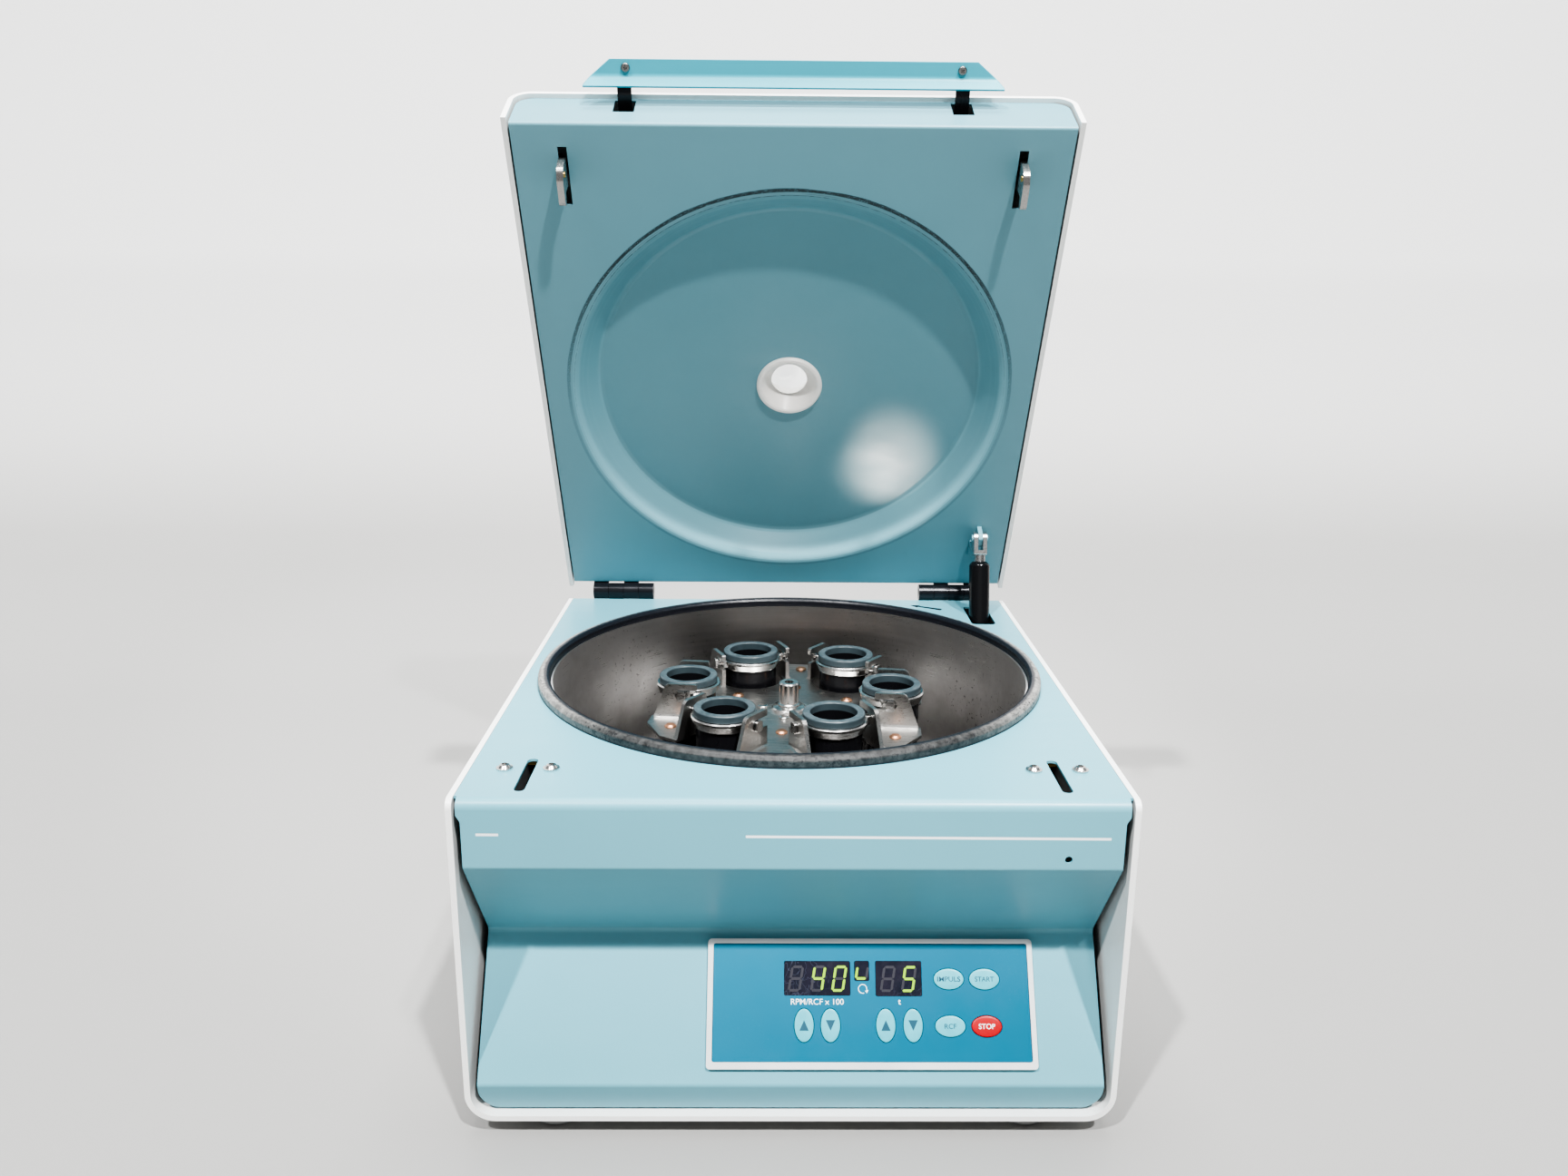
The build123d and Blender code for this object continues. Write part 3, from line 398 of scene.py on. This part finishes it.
# a darker copy of the bright steel for the hooks and shaft on the lid: painted shade
bright_steel_lid_shaded = steel("bright_steel_lid", (0.40, 0.385, 0.37), 0.22, 0.8, lid=True, seed=3.0, axis=2, stain=0.45)
for n in ("lock_hooks", "lock_shaft"):
    give(n, bright_steel_lid_shaded)
zinc = steel("zinc_steel", (0.58, 0.58, 0.575), 0.34, 0.6, seed=4.0, axis=1, stain=0.5)
for n in ("chassis_frame", "lock_frames", "strut_bracket"):
    give(n, zinc)
zinc_lid = steel("zinc_steel_lid", (0.56, 0.56, 0.55), 0.24, 0.5, lid=True, seed=5.0, axis=1, stain=0.4)
give("strut_fork", zinc_lid)
give("strut_tab", panel)
give("lock_catches", steel("brass", (0.72, 0.50, 0.20), 0.30, 0.7, seed=6.0, axis=0, stain=0.5))
give("rotor_rivets", steel("copper", (0.62, 0.34, 0.22), 0.32, 0.8, seed=7.0, axis=0, stain=0.7))

band_steel = steel("band_steel", (0.66, 0.65, 0.635), 0.20, 0.8, seed=8.0, axis=0, stain=0.3)
for k in range(1, 7):
    give("bucket_band_%d" % k, band_steel)

black_steel = Shade("black_steel", (0.018, 0.019, 0.022), 0.34, 0.35, Specular_IOR_Level=0.5)
v = black_steel.obj()
wear = black_steel.mr(black_steel.noise(v, 150.0, 4.0, 0.6), 0.74, 0.80)
black_steel.set("Base Color", black_steel.mix(black_steel.mul(wear, 0.5), (0.016, 0.017, 0.021), (0.20, 0.20, 0.20)))
black_steel.set("Roughness", black_steel.mr(black_steel.noise(v, 40.0, 2.0), 0.3, 0.7, 0.20, 0.28))
black_steel.bump((black_steel.noise(v, 500.0, 2.0), 0.000006))
for n in ("hinge_bases", "hinge_pins", "hinge_lid_leaves", "handle_brackets"):
    give(n, black_steel)

# bucket sleeves: black tube, slate grey collar rubbed on its top
sleeve = Shade("bucket_black", (0.012, 0.012, 0.014), 0.34, Specular_IOR_Level=0.5)
v = sleeve.obj()
x, y, z = sleeve.sep(v)
col = sleeve.mix(sleeve.mr(sleeve.noise(v, 60.0, 3.0), 0.35, 0.65), (0.040, 0.058, 0.066), (0.056, 0.078, 0.088))
up = sleeve.mr(z, (ZF - 10.2) / 1000, (ZF - 9.8) / 1000)
rub = sleeve.mul(sleeve.mr(z, (ZF - 5.35) / 1000, (ZF - 5.1) / 1000), sleeve.mr(sleeve.noise(v, 240.0, 3.0, 0.6), 0.42, 0.7))
col = sleeve.mix(sleeve.mul(rub, 0.35), col, (0.16, 0.19, 0.20))
sleeve.set("Base Color", sleeve.mix(up, (0.010, 0.010, 0.012), col))
sleeve.set("Roughness", sleeve.mixf(up, sleeve.mr(sleeve.noise(v, 90.0, 3.0), 0.3, 0.7, 0.16, 0.30), 0.36))
sleeve.bump((sleeve.noise(v, 700.0, 3.0), 0.00002))
for k in range(1, 7):
    give("bucket_sleeve_%d" % k, sleeve)

# printed face foil, with a painted sheen that makes it lighter towards the left and the top of the slope
foil = Shade("face_foil", (0.085, 0.36, 0.50), 0.38, Specular_IOR_Level=0.16)
v = foil.obj()
x, y, z = foil.sep(v)
# painted sheen: lighter towards the left and towards the top of the slope
g = foil.add(foil.mr(x, -0.045, 0.06, 0.55, 0.0), foil.mr(z, (ZF - 150) / 1000, (ZF - 108) / 1000, 0.0, 0.45))
foil_col = foil.mix(foil.mr(foil.noise(v, 12.0, 2.0), 0.3, 0.7), (0.009, 0.128, 0.208), (0.012, 0.142, 0.228))
foil_col = foil.mix(foil.mul(g, 0.5), foil_col, (0.030, 0.205, 0.300))
fs = foil.scratches(v, 11.0, 110.0, 160.0, 0.006, 0.6)
foil.set("Base Color", foil.mix(foil.mul(fs, 0.08), foil_col, (0.16, 0.36, 0.46)))
foil.set("Roughness", foil.add(foil.mr(foil.noise(v, 80.0, 3.0), 0.3, 0.7, 0.30, 0.38), foil.mul(fs, 0.15)))
foil.bump((foil.noise(v, 1500.0, 2.0), 0.000012))
give("control_face", foil)


def key_paint(name, colour):
    s = Shade(name, colour, 0.36, Specular_IOR_Level=0.35)
    v = s.obj()
    rub = s.noise(v, 140.0, 4.0, 0.6)
    s.set("Base Color", s.mix(s.mr(rub, 0.35, 0.7), colour, scaled(colour, 1.12)))
    s.set("Roughness", s.mr(rub, 0.3, 0.7, 0.30, 0.42))
    s.bump((s.noise(v, 1500.0, 2.0), 0.000012))
    return s


key_light = key_paint("key_light", (0.092, 0.410, 0.480))
key_red = key_paint("key_red", (0.40, 0.014, 0.017))

window = Shade("window", (0.96, 0.98, 0.98), 0.04, Transmission_Weight=0.95, IOR=1.46)
v = window.rest_closed()
window.set("Roughness", window.mr(window.noise(v, 120.0, 3.0), 0.4, 0.8, 0.02, 0.14))
window.bump((window.noise(v, 90.0, 2.0), 0.00001))
give("port_window", window)

ink_white = plastic("ink_white", (0.82, 0.85, 0.86), 0.5, seed=20)
ink_blue = plastic("ink_blue", (0.075, 0.28, 0.36), 0.45, seed=21)
ink_blue2 = plastic("ink_blue_soft", (0.010, 0.080, 0.125), 0.45, seed=22)
ink_black = plastic("ink_black", (0.012, 0.014, 0.02), 0.5, seed=23)
stamp_dark = plastic("stamp_dark", (0.035, 0.033, 0.03), 0.6, seed=24)
glass_dark = Shade("display_glass", (0.010, 0.011, 0.022), 0.18, Specular_IOR_Level=0.5, Coat_Weight=0.3, Coat_Roughness=0.08)
v = glass_dark.obj()
gs = glass_dark.scratches(v, 31.0, 60.0, 120.0, 0.02, 0.48)
glass_dark.set("Base Color", glass_dark.mix(glass_dark.mul(gs, 0.5), glass_dark.mix(glass_dark.mr(glass_dark.noise(v, 70.0, 3.0), 0.4, 0.7), (0.007, 0.009, 0.020), (0.018, 0.015, 0.030)), (0.08, 0.09, 0.13)))
glass_dark.set("Roughness", glass_dark.mr(glass_dark.noise(v, 200.0, 3.0), 0.3, 0.7, 0.12, 0.26))
seg_off = plastic("segment_off", (0.017, 0.016, 0.026), 0.5, seed=25)
seg_on = Shade("segment_on", (0.06, 0.09, 0.0), 0.5, Emission_Color=(0.50, 1.0, 0.012), Emission_Strength=0.95)
v = seg_on.obj()
seg_on.set("Base Color", seg_on.mix(seg_on.noise(v, 500.0, 2.0), (0.05, 0.08, 0.0), (0.07, 0.10, 0.002)))


# ------------------------------------------------------------------ mesh helpers
def add_mesh(name, verts, faces, mat, body, M=MM, smooth=False, piece=True):
    me = bpy.data.meshes.new(name)
    me.from_pydata([tuple(v) for v in verts], [], faces)
    me.transform(M)
    if M.determinant() < 0:
        me.flip_normals()
    me.validate()
    me.update()
    o = bpy.data.objects.new(name, me)
    bpy.context.scene.collection.objects.link(o)
    me.materials.append(mat.m if isinstance(mat, Shade) else mat)
    if smooth:
        for p in me.polygons:
            p.use_smooth = True
    if piece:
        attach(o, body)
    return o


def soft_edges(o, angle=35.0):
    me = o.data
    for p in me.polygons:
        p.use_smooth = True
    bm = bmesh.new()
    bm.from_mesh(me)
    lim = math.radians(angle)
    for e in bm.edges:
        e.smooth = not (len(e.link_faces) != 2 or e.calc_face_angle(9.0) > lim)
    bm.to_mesh(me)
    bm.free()
    return o


def prism_data(poly, z0, z1):
    n = len(poly)
    vs = [(p[0], p[1], z0) for p in poly] + [(p[0], p[1], z1) for p in poly]
    fs = [tuple(range(n - 1, -1, -1)), tuple(range(n, 2 * n))]
    fs += [(i, (i + 1) % n, n + (i + 1) % n, n + i) for i in range(n)]
    return vs, fs


def ccw(poly):
    a = sum(poly[i][0] * poly[(i + 1) % len(poly)][1] - poly[(i + 1) % len(poly)][0] * poly[i][1] for i in range(len(poly)))
    return poly if a > 0 else poly[::-1]


def flats(name, polys, M, mat, body, z0=-0.05, z1=0.10):
    V, F = [], []
    for poly in polys:
        vs, fs = prism_data(ccw(poly), z0, z1)
        b = len(V)
        V += vs
        F += [tuple(i + b for i in f) for f in fs]
    return add_mesh(name, V, F, mat, body, M)


def rrect(x0, x1, y0, y1, r, n=6):
    pts = []
    for cx, cy, a0 in ((x1 - r, y1 - r, 0), (x0 + r, y1 - r, 90), (x0 + r, y0 + r, 180), (x1 - r, y0 + r, 270)):
        for i in range(n + 1):
            a = math.radians(a0 + 90 * i / n)
            pts.append((cx + r * math.cos(a), cy + r * math.sin(a)))
    return pts


def lathe(profile, n=48, close=False):
    """(r, z) profile turned about z; a radius of 0 at an end makes a pole"""
    V, F, rows = [], [], []
    for r, z in profile:
        if r < 1e-6:
            rows.append([len(V)])
            V.append((0, 0, z))
        else:
            rows.append(list(range(len(V), len(V) + n)))
            V += [(r * math.cos(2 * math.pi * i / n), r * math.sin(2 * math.pi * i / n), z) for i in range(n)]
    pairs = list(zip(rows, rows[1:])) + ([(rows[-1], rows[0])] if close else [])
    for A, B in pairs:
        for i in range(n):
            j = (i + 1) % n
            if len(A) == 1 and len(B) == 1:
                continue
            if len(A) == 1:
                F.append((A[0], B[j], B[i]))
            elif len(B) == 1:
                F.append((A[i], A[j], B[0]))
            else:
                F.append((A[i], A[j], B[j], B[i]))
    return V, F


def look_at(M_parent, x, y, z, nrm, spin=0.0):
    """mm frame whose local z is nrm at (x, y, z)"""
    zv = Vector(nrm).normalized()
    xv = Vector((1, 0, 0)) if abs(zv.x) < 0.9 else Vector((0, 1, 0))
    yv = zv.cross(xv).normalized()
    xv = yv.cross(zv).normalized()
    L = Matrix((xv, yv, zv)).transposed().to_4x4()
    L.translation = Vector((x, y, z))
    return M_parent @ L @ Matrix.Rotation(spin, 4, "Z")


def phillips(name, R, H, M, mat, body, recess=0.42, dome=0.35):
    """pan head with a real cross recess: the top is cut with a boolean"""
    prof = [(0, -0.3), (R * 0.96, -0.3), (R, 0.05)]
    for i in range(7):
        a = math.radians(90 * i / 6)
        prof.append((R - dome * R * (1 - math.cos(a)) * 0.9, H * (0.35 + 0.65 * math.sin(a))))
    prof.append((R * 0.35, H * 1.03))
    prof.append((0, H * 1.04))
    V, F = lathe(prof, 40)
    me = bpy.data.meshes.new(name)
    me.from_pydata(V, [], F)
    o = bpy.data.objects.new(name, me)
    bpy.context.scene.collection.objects.link(o)
    w, L, d = R * 0.13, R * recess * 1.25, H * 0.62
    cut = []
    for i in range(4):
        a = i * math.pi / 2
        c, s = math.cos(a), math.sin(a)
        for px, py in ((L, -w), (L, w), (w, w)):
            cut.append((px * c - py * s, px * s + py * c))
    n = len(cut)
    cv = [(p[0] * 0.45, p[1] * 0.75, H * 1.04 - d) for p in cut] + [(p[0], p[1], H * 1.04 + 0.4) for p in cut]
    cf = [tuple(range(n - 1, -1, -1)), tuple(range(n, 2 * n))] + [(i, (i + 1) % n, n + (i + 1) % n, n + i) for i in range(n)]
    cme = bpy.data.meshes.new(name + "_cut")
    cme.from_pydata(cv, [], cf)
    co = bpy.data.objects.new(name + "_cut", cme)
    bpy.context.scene.collection.objects.link(co)
    md = o.modifiers.new("cut", "BOOLEAN")
    md.operation = "DIFFERENCE"
    md.solver = "EXACT"
    md.object = co
    bpy.context.view_layer.update()
    ev = o.evaluated_get(bpy.context.evaluated_depsgraph_get())
    new = bpy.data.meshes.new_from_object(ev)
    bpy.data.objects.remove(co)
    bpy.data.objects.remove(o)
    o = bpy.data.objects.new(name, new)
    bpy.context.scene.collection.objects.link(o)
    new.transform(M)
    new.materials.clear()
    new.materials.append(mat.m)
    soft_edges(o, 38)
    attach(o, body)
    return o


def lettering(name, s, w, h, M, mat, body, bold=0.0, z0=0.0, z1=0.08, shear=0.0):
    """text fitted to w x h mm, centred on the local origin"""
    cu = bpy.data.curves.new(name, "FONT")
    cu.body = s
    cu.size = 1.0
    cu.offset = bold
    cu.shear = shear
    cu.extrude = 0.5
    o = bpy.data.objects.new(name, cu)
    bpy.context.scene.collection.objects.link(o)
    bpy.context.view_layer.update()
    me = bpy.data.meshes.new_from_object(o.evaluated_get(bpy.context.evaluated_depsgraph_get()))
    bpy.data.objects.remove(o)
    xs = [v.co.x for v in me.vertices]
    ys = [v.co.y for v in me.vertices]
    sx, sy = w / (max(xs) - min(xs)), h / (max(ys) - min(ys))
    cx, cy = (max(xs) + min(xs)) / 2, (max(ys) + min(ys)) / 2
    me.transform(M @ Matrix.Translation((0, 0, (z0 + z1) / 2)) @ Matrix.Diagonal((sx, sy, z1 - z0, 1)) @ Matrix.Translation((-cx, -cy, 0)))
    me.materials.clear()
    me.materials.append(mat.m)
    o = bpy.data.objects.new(name, me)
    bpy.context.scene.collection.objects.link(o)
    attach(o, body)
    return o


# ------------------------------------------------------------------ control field
FH = 1.6      # face foil stands this high above the slope
for nm, x0, x1, t0, t1 in (("display_left", -4.3, 33.7, 17.9, 36.8), ("display_sign", 36.0, 44.6, 17.8, 28.8), ("display_right", 48.1, 74.7, 17.8, 37.1)):
    flats(nm, [rrect(x0, x1, -t1, -t0, 0.9)], slope(0, 0, FH), glass_dark, "housing", -0.05, 0.10)

SEGS = {"0": "abcdef", "4": "bcfg", "5": "acdfg", "8": "abcdefg", "L": "fg"}


def seg_polys(which, cx, t0, hgt=14.3, wid=7.4, th=1.45, slant=0.17):
    """hexagonal bars of a seven-segment digit whose top is at t0; local y is minus t"""
    g, hw, hh = 0.16, wid / 2 - th / 2, hgt / 2 - th / 2
    out = []
    bars = {"a": (-hw, hh, hw, hh), "g": (-hw, 0, hw, 0), "d": (-hw, -hh, hw, -hh), "f": (-hw, 0, -hw, hh), "b": (hw, 0, hw, hh), "e": (-hw, -hh, -hw, 0), "c": (hw, -hh, hw, 0)}
    for s in which:
        x0, y0, x1, y1 = bars[s]
        L = math.hypot(x1 - x0, y1 - y0)
        ux, uy = (x1 - x0) / L, (y1 - y0) / L
        px, py = -uy, ux
        q = th / 2
        pts = []
        for along, side in ((g, 0), (g + q * 0.85, q), (L - g - q * 0.85, q), (L - g, 0), (L - g - q * 0.85, -q), (g + q * 0.85, -q)):
            X, Y = x0 + ux * along + px * side, y0 + uy * along + py * side
            pts.append((cx + X + Y * slant, -(t0 + hgt / 2) + Y))
        out.append(pts)
    return out


lit = seg_polys(SEGS["4"], 15.3, 20.4) + seg_polys(SEGS["0"], 27.4, 20.4) + seg_polys(SEGS["5"], 67.4, 20.5) + seg_polys(SEGS["L"], 39.9, 20.3)
dim = seg_polys(SEGS["8"], 2.5, 20.4) + seg_polys(SEGS["8"], 55.3, 20.5) + seg_polys("ade", 15.3, 20.4) + seg_polys("g", 27.4, 20.4) + seg_polys("be", 67.4, 20.5) + seg_polys("b", 39.9, 20.3)
flats("digits_lit", lit, slope(0, 0, FH), seg_on, "housing", 0.08, 0.16)
flats("digits_dim", dim, slope(0, 0, FH), seg_off, "housing", 0.08, 0.13)

lettering("label_speed", "RPM/RCF x 100", 30.2, 3.2, slope(14.7, 40.1, FH), ink_white, "housing", 0.008)
lettering("label_time", "t", 1.6, 2.9, slope(61.6, 40.2, FH), ink_white, "housing", 0.02)

# turning-direction arrow under the small display
R0, R1 = 2.15, 2.62
arc = [(R1 * math.cos(math.radians(a)), R1 * math.sin(math.radians(a))) for a in range(-20, 296, 9)]
arc += [(R0 * math.cos(math.radians(a)), R0 * math.sin(math.radians(a))) for a in range(295, -21, -9)]
quads = []
A = list(range(-22, 298, 8))
for a0, a1 in zip(A, A[1:]):
    c0, s0, c1, s1 = math.cos(math.radians(a0)), math.sin(math.radians(a0)), math.cos(math.radians(a1)), math.sin(math.radians(a1))
    quads.append([(R0 * c0, R0 * s0), (R1 * c0, R1 * s0), (R1 * c1, R1 * s1), (R0 * c1, R0 * s1)])
quads.append([(1.2, -1.15), (3.35, -0.55), (2.5, -2.35)])
flats("label_direction", quads, slope(40.7, 33.1, FH), ink_white, "housing", 0.0, 0.08)

KEYS = {"key_speed_up": (7.1, 52.8, 5.5, 9.0), "key_speed_down": (22.1, 52.8, 5.5, 9.0), "key_time_up": (53.5, 52.8, 5.5, 9.0),
        "key_time_down": (69.0, 52.8, 5.5, 9.0), "key_pulse": (90.2, 27.7, 8.6, 5.75), "key_start": (110.6, 27.7, 8.6, 5.75),
        "key_rcf": (90.2, 53.2, 8.6, 5.75), "key_stop": (110.9, 53.2, 8.6, 5.75)}
for nm, (kx, kt, ka, kb) in KEYS.items():
    # softly crowned key that fills its oval opening
    prof = [(0.985, -2.9), (1.0, -2.6), (1.0, 1.62), (0.992, 1.80), (0.97, 1.93), (0.93, 2.02), (0.8, 2.12), (0.6, 2.20), (0.35, 2.26), (0.0, 2.29)]
    n = 64
    V, F, rows = [], [], []
    for q, hh in prof:
        if q == 0:
            rows.append([len(V)])
            V.append((0, 0, hh))
        else:
            rows.append(list(range(len(V), len(V) + n)))
            V += [(ka * q * math.cos(2 * math.pi * i / n), kb * q * math.sin(2 * math.pi * i / n), hh) for i in range(n)]
    F.append(tuple(reversed(rows[0])))
    for Ar, Br in zip(rows, rows[1:]):
        for i in range(n):
            j = (i + 1) % n
            F.append((Ar[i], Ar[j], Br[0]) if len(Br) == 1 else (Ar[i], Ar[j], Br[j], Br[i]))
    cap = add_mesh(nm + "_cap", V, F, key_red if nm == "key_stop" else key_light, nm, slope(kx, kt, 0), True)
    soft_edges(cap, 50)
    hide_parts(nm)
    S = slope(kx, kt, 2.25)
    if nm.endswith("_up"):
        flats(nm + "_mark", [[(-2.65, -2.85), (2.65, -2.85), (0.0, 2.85)]], S, ink_blue2, nm, -0.15, 0.05)
    elif nm.endswith("_down"):
        flats(nm + "_mark", [[(-2.65, 2.85), (2.65, 2.85), (0.0, -2.85)]], S, ink_blue2, nm, -0.15, 0.05)
for nm, word, ww, wh in (("key_pulse", "IMPULS", 13.2, 2.7), ("key_start", "START", 10.9, 2.7), ("key_rcf", "RCF", 6.8, 2.7), ("key_stop", "STOP", 9.4, 2.9)):
    kx, kt = KEYS[nm][:2]
    lettering(nm + "_word", word, ww, wh, slope(kx, kt, 2.25), ink_white if nm == "key_stop" else ink_blue2, nm, 0.014 if nm == "key_stop" else 0.008, -0.14, 0.09)

# ------------------------------------------------------------------ printed arrow on the top plate
ax0, ay0, ax1, ay1 = 103.0, 385.0, 127.0, 371.5
L = math.hypot(ax1 - ax0, ay1 - ay0)
ang = math.atan2(ay1 - ay0, ax1 - ax0)
arrow = [[(0, 0.0), (7.5, 3.3), (7.5, 1.3), (L, 2.4), (L, -1.7), (7.5, -1.3), (7.5, -3.3)]]
arrow_ink = Shade("arrow_ink", (0.006, 0.007, 0.010), 0.85, Specular_IOR_Level=0.08)
v = arrow_ink.obj()
arrow_ink.set("Base Color", arrow_ink.mix(arrow_ink.noise(v, 300.0, 2.0), (0.005, 0.006, 0.009), (0.012, 0.013, 0.018)))
flats("turn_arrow", arrow, MM @ Matrix.Translation((ax0, ay0, 0.0)) @ Matrix.Rotation(ang, 4, "Z"), arrow_ink, "housing", -0.05, 0.10)

# ------------------------------------------------------------------ screws of the handle bar
screw_dull = steel("screw_dull", (0.24, 0.24, 0.235), 0.34, 0.7, lid=True, seed=17.0, axis=2, stain=0.5)
for sx, nm in ((-1, "left"), (1, "right")):
    # underside facet of the bar, lid shut: normal points down and forward
    M = look_at(LIDM, sx * 107.0, -12.9, 43.75, (0.0, -0.2, -1.0), 0.4 * sx + 0.3)
    phillips("handle_screw_" + nm, 2.85, 1.3, M, screw_dull, "handle")

# ------------------------------------------------------------------ brass pins through the hooks
brass_lid = steel("brass_lid", (0.74, 0.50, 0.18), 0.26, 0.7, lid=True, seed=16.0, axis=0, stain=0.4)
for sx, nm in ((-1, "left"), (1, "right")):
    V, F = lathe([(0.0, -2.75), (1.5, -2.75), (1.9, -2.55), (1.9, 2.55), (1.5, 2.75), (0.0, 2.75)], 28)
    M = LIDM @ Matrix.Translation((sx * 146.9, 36.5, -4.0)) @ Matrix.Rotation(math.pi / 2, 4, "Y")
    pin = add_mesh("hook_pin_" + nm, V, F, brass_lid, "handle", M)
    soft_edges(pin, 40)

# ------------------------------------------------------------------ rotor: clamp screws beside the nut, stamped numbers
for i, adeg in enumerate((169.0, 259.0, 349.0, 79.0)):
    rr = 18.6
    px, py = rr * math.cos(math.radians(adeg)), CY + rr * math.sin(math.radians(adeg))
    phillips("rotor_screw_%d" % (i + 1), 3.8, 1.7, look_at(MM, px, py, -28.0, (0, 0, 1), 0.5 * i + 0.2), bright, "rotor")
for k in range(6):
    adeg = 53.1 + 60 * k
    rr = 41.0
    px, py = rr * math.cos(math.radians(adeg)), CY + rr * math.sin(math.radians(adeg))
    M = look_at(MM, px, py, -28.0, (0, 0, 1), math.radians(adeg - 90))
    lettering("rotor_number_%d" % (k + 1), str(k + 1), 3.0, 5.0, M, stamp_dark, "rotor", 0.0, -0.03, 0.05)

# ------------------------------------------------------------------ rear: panel screws
for cx in (-170, 170):
    for cz in (-14, -98, -182):
        phillips("rear_screw_%s%d" % ("l" if cx < 0 else "r", -cz), 3.4, 1.7, look_at(MM, cx, 401.0, cz, (0, 1, 0), 0.01 * cz), bright, "housing")

# ------------------------------------------------------------------ stage
fl = []
prof = [(-5.0, 0.0), (1.15, 0.0)] + [(1.15 + 0.45 * math.sin(math.radians(a)), 0.45 - 0.45 * math.cos(math.radians(a))) for a in range(10, 91, 10)] + [(1.6, 3.2)]
V, F = [], []
for yy, zz in prof:
    V += [(-5.0, yy, zz), (5.0, yy, zz)]
for i in range(len(prof) - 1):
    F.append((2 * i, 2 * i + 1, 2 * i + 3, 2 * i + 2))
stage_mat = Shade("stage", (0.66, 0.655, 0.645), 0.6, Specular_IOR_Level=0.3)
v = stage_mat.obj()
x, y, z = stage_mat.sep(v)
wallness = stage_mat.mr(z, 0.02, 0.5)
stage_mat.set("Base Color", stage_mat.mix(wallness, (0.315, 0.312, 0.305), (0.78, 0.78, 0.775)))
floor = add_mesh("studio_floor", V, F, stage_mat, None, Matrix.Identity(4), True, piece=False)
for p in floor.data.polygons:
    p.use_smooth = True

# ------------------------------------------------------------------ light
world = bpy.data.worlds.new("studio")
bpy.context.scene.world = world
world.use_nodes = True
wt = world.node_tree
bg = wt.nodes["Background"]
bg.inputs["Color"].default_value = (0.96, 0.98, 1.0, 1)
wn = wt.nodes
wl = wt.links
wc, ws, wm = wn.new("ShaderNodeTexCoord"), wn.new("ShaderNodeSeparateXYZ"), wn.new("ShaderNodeMapRange")
wl.new(wc.outputs["Generated"], ws.inputs[0])
wl.new(ws.outputs[2], wm.inputs["Value"])
for k, val in (("From Min", -0.1), ("From Max", 0.7), ("To Min", 0.12), ("To Max", 0.34)):
    wm.inputs[k].default_value = val
wl.new(wm.outputs[0], bg.inputs["Strength"])


def area(name, loc, target, size, size_y, watts, colour=(1, 1, 1)):
    d = bpy.data.lights.new(name, "AREA")
    d.shape = "RECTANGLE"
    d.size, d.size_y, d.energy, d.color = size, size_y, watts, colour
    o = bpy.data.objects.new(name, d)
    bpy.context.scene.collection.objects.link(o)
    o.location = loc
    o.rotation_euler = (Vector(target) - Vector(loc)).to_track_quat("-Z", "Y").to_euler()
    return o


def sun(name, towards, strength, spread):
    d = bpy.data.lights.new(name, "SUN")
    d.energy, d.angle = strength, math.radians(spread)
    o = bpy.data.objects.new(name, d)
    bpy.context.scene.collection.objects.link(o)
    o.location = Vector(towards).normalized() * 3
    o.rotation_euler = Vector(towards).to_track_quat("Z", "Y").to_euler()
    return o


def spot(name, loc, target, watts, cone, blend, soft, colour=(1, 1, 1)):
    d = bpy.data.lights.new(name, "SPOT")
    d.energy, d.color, d.spot_size, d.spot_blend, d.shadow_soft_size = watts, colour, math.radians(cone), blend, soft
    o = bpy.data.objects.new(name, d)
    bpy.context.scene.collection.objects.link(o)
    o.location = loc
    o.rotation_euler = (Vector(target) - Vector(loc)).to_track_quat("-Z", "Y").to_euler()
    return o


sun("overhead_left", (-0.34, -0.485, 0.8745), 2.8, 2.0)
sun("overhead_right", (0.26, -0.485, 0.8745), 3.25, 2.0)
area("overhead", (0.0, 0.02, 2.3), (0, 0.02, 0), 1.1, 0.7, 32)
spot("lid_key", (0.36, -1.09, 1.657), (0, 0.150, 0.315), 84, 31, 0.6, 0.03)
area("front_fill", (0.0, -2.6, 1.2), (0, 0, 0.25), 2.4, 1.6, 2.2)
area("wall_wash", (0.0, 0.72, 1.3), (0, 1.6, 1.15), 4.5, 2.4, 9)
# light thrown up from the bright bowl on to the lid, in two overlapping patches
spot("bowl_glow", P(104.3, 263.0, -103.6), P(84.0, 366.5, 119.0), 1.9, 20, 1.0, 0.004, (1.0, 0.82, 0.74))
spot("bowl_glow_low", P(104.3, 263.0, -103.6), P(64.0, 372.0, 108.0), 0.9, 15, 1.0, 0.004, (1.0, 0.85, 0.78))

# ------------------------------------------------------------------ camera
pt, yw, rl = math.radians(14.746), math.radians(0.634), math.radians(-0.464)
fwd = Vector((math.sin(yw) * math.cos(pt), math.cos(yw) * math.cos(pt), -math.sin(pt)))
right = Vector((math.cos(yw), -math.sin(yw), 0))
down = fwd.cross(right)
r2 = right * math.cos(rl) + down * math.sin(rl)
d2 = -right * math.sin(rl) + down * math.cos(rl)
cam = bpy.data.cameras.new("camera")
cam.lens = 27.715
cam.sensor_width = 36.0
cam.sensor_fit = "HORIZONTAL"
cam.clip_start = 0.02
co = bpy.data.objects.new("camera", cam)
bpy.context.scene.collection.objects.link(co)
M = Matrix((r2, -d2, -fwd)).transposed().to_4x4()
M.translation = P(-12.88, -582.4, 268.9)
co.matrix_world = M
bpy.context.scene.camera = co
bpy.context.scene.view_settings.view_transform = "AgX"
bpy.context.scene.view_settings.look = "AgX - High Contrast"
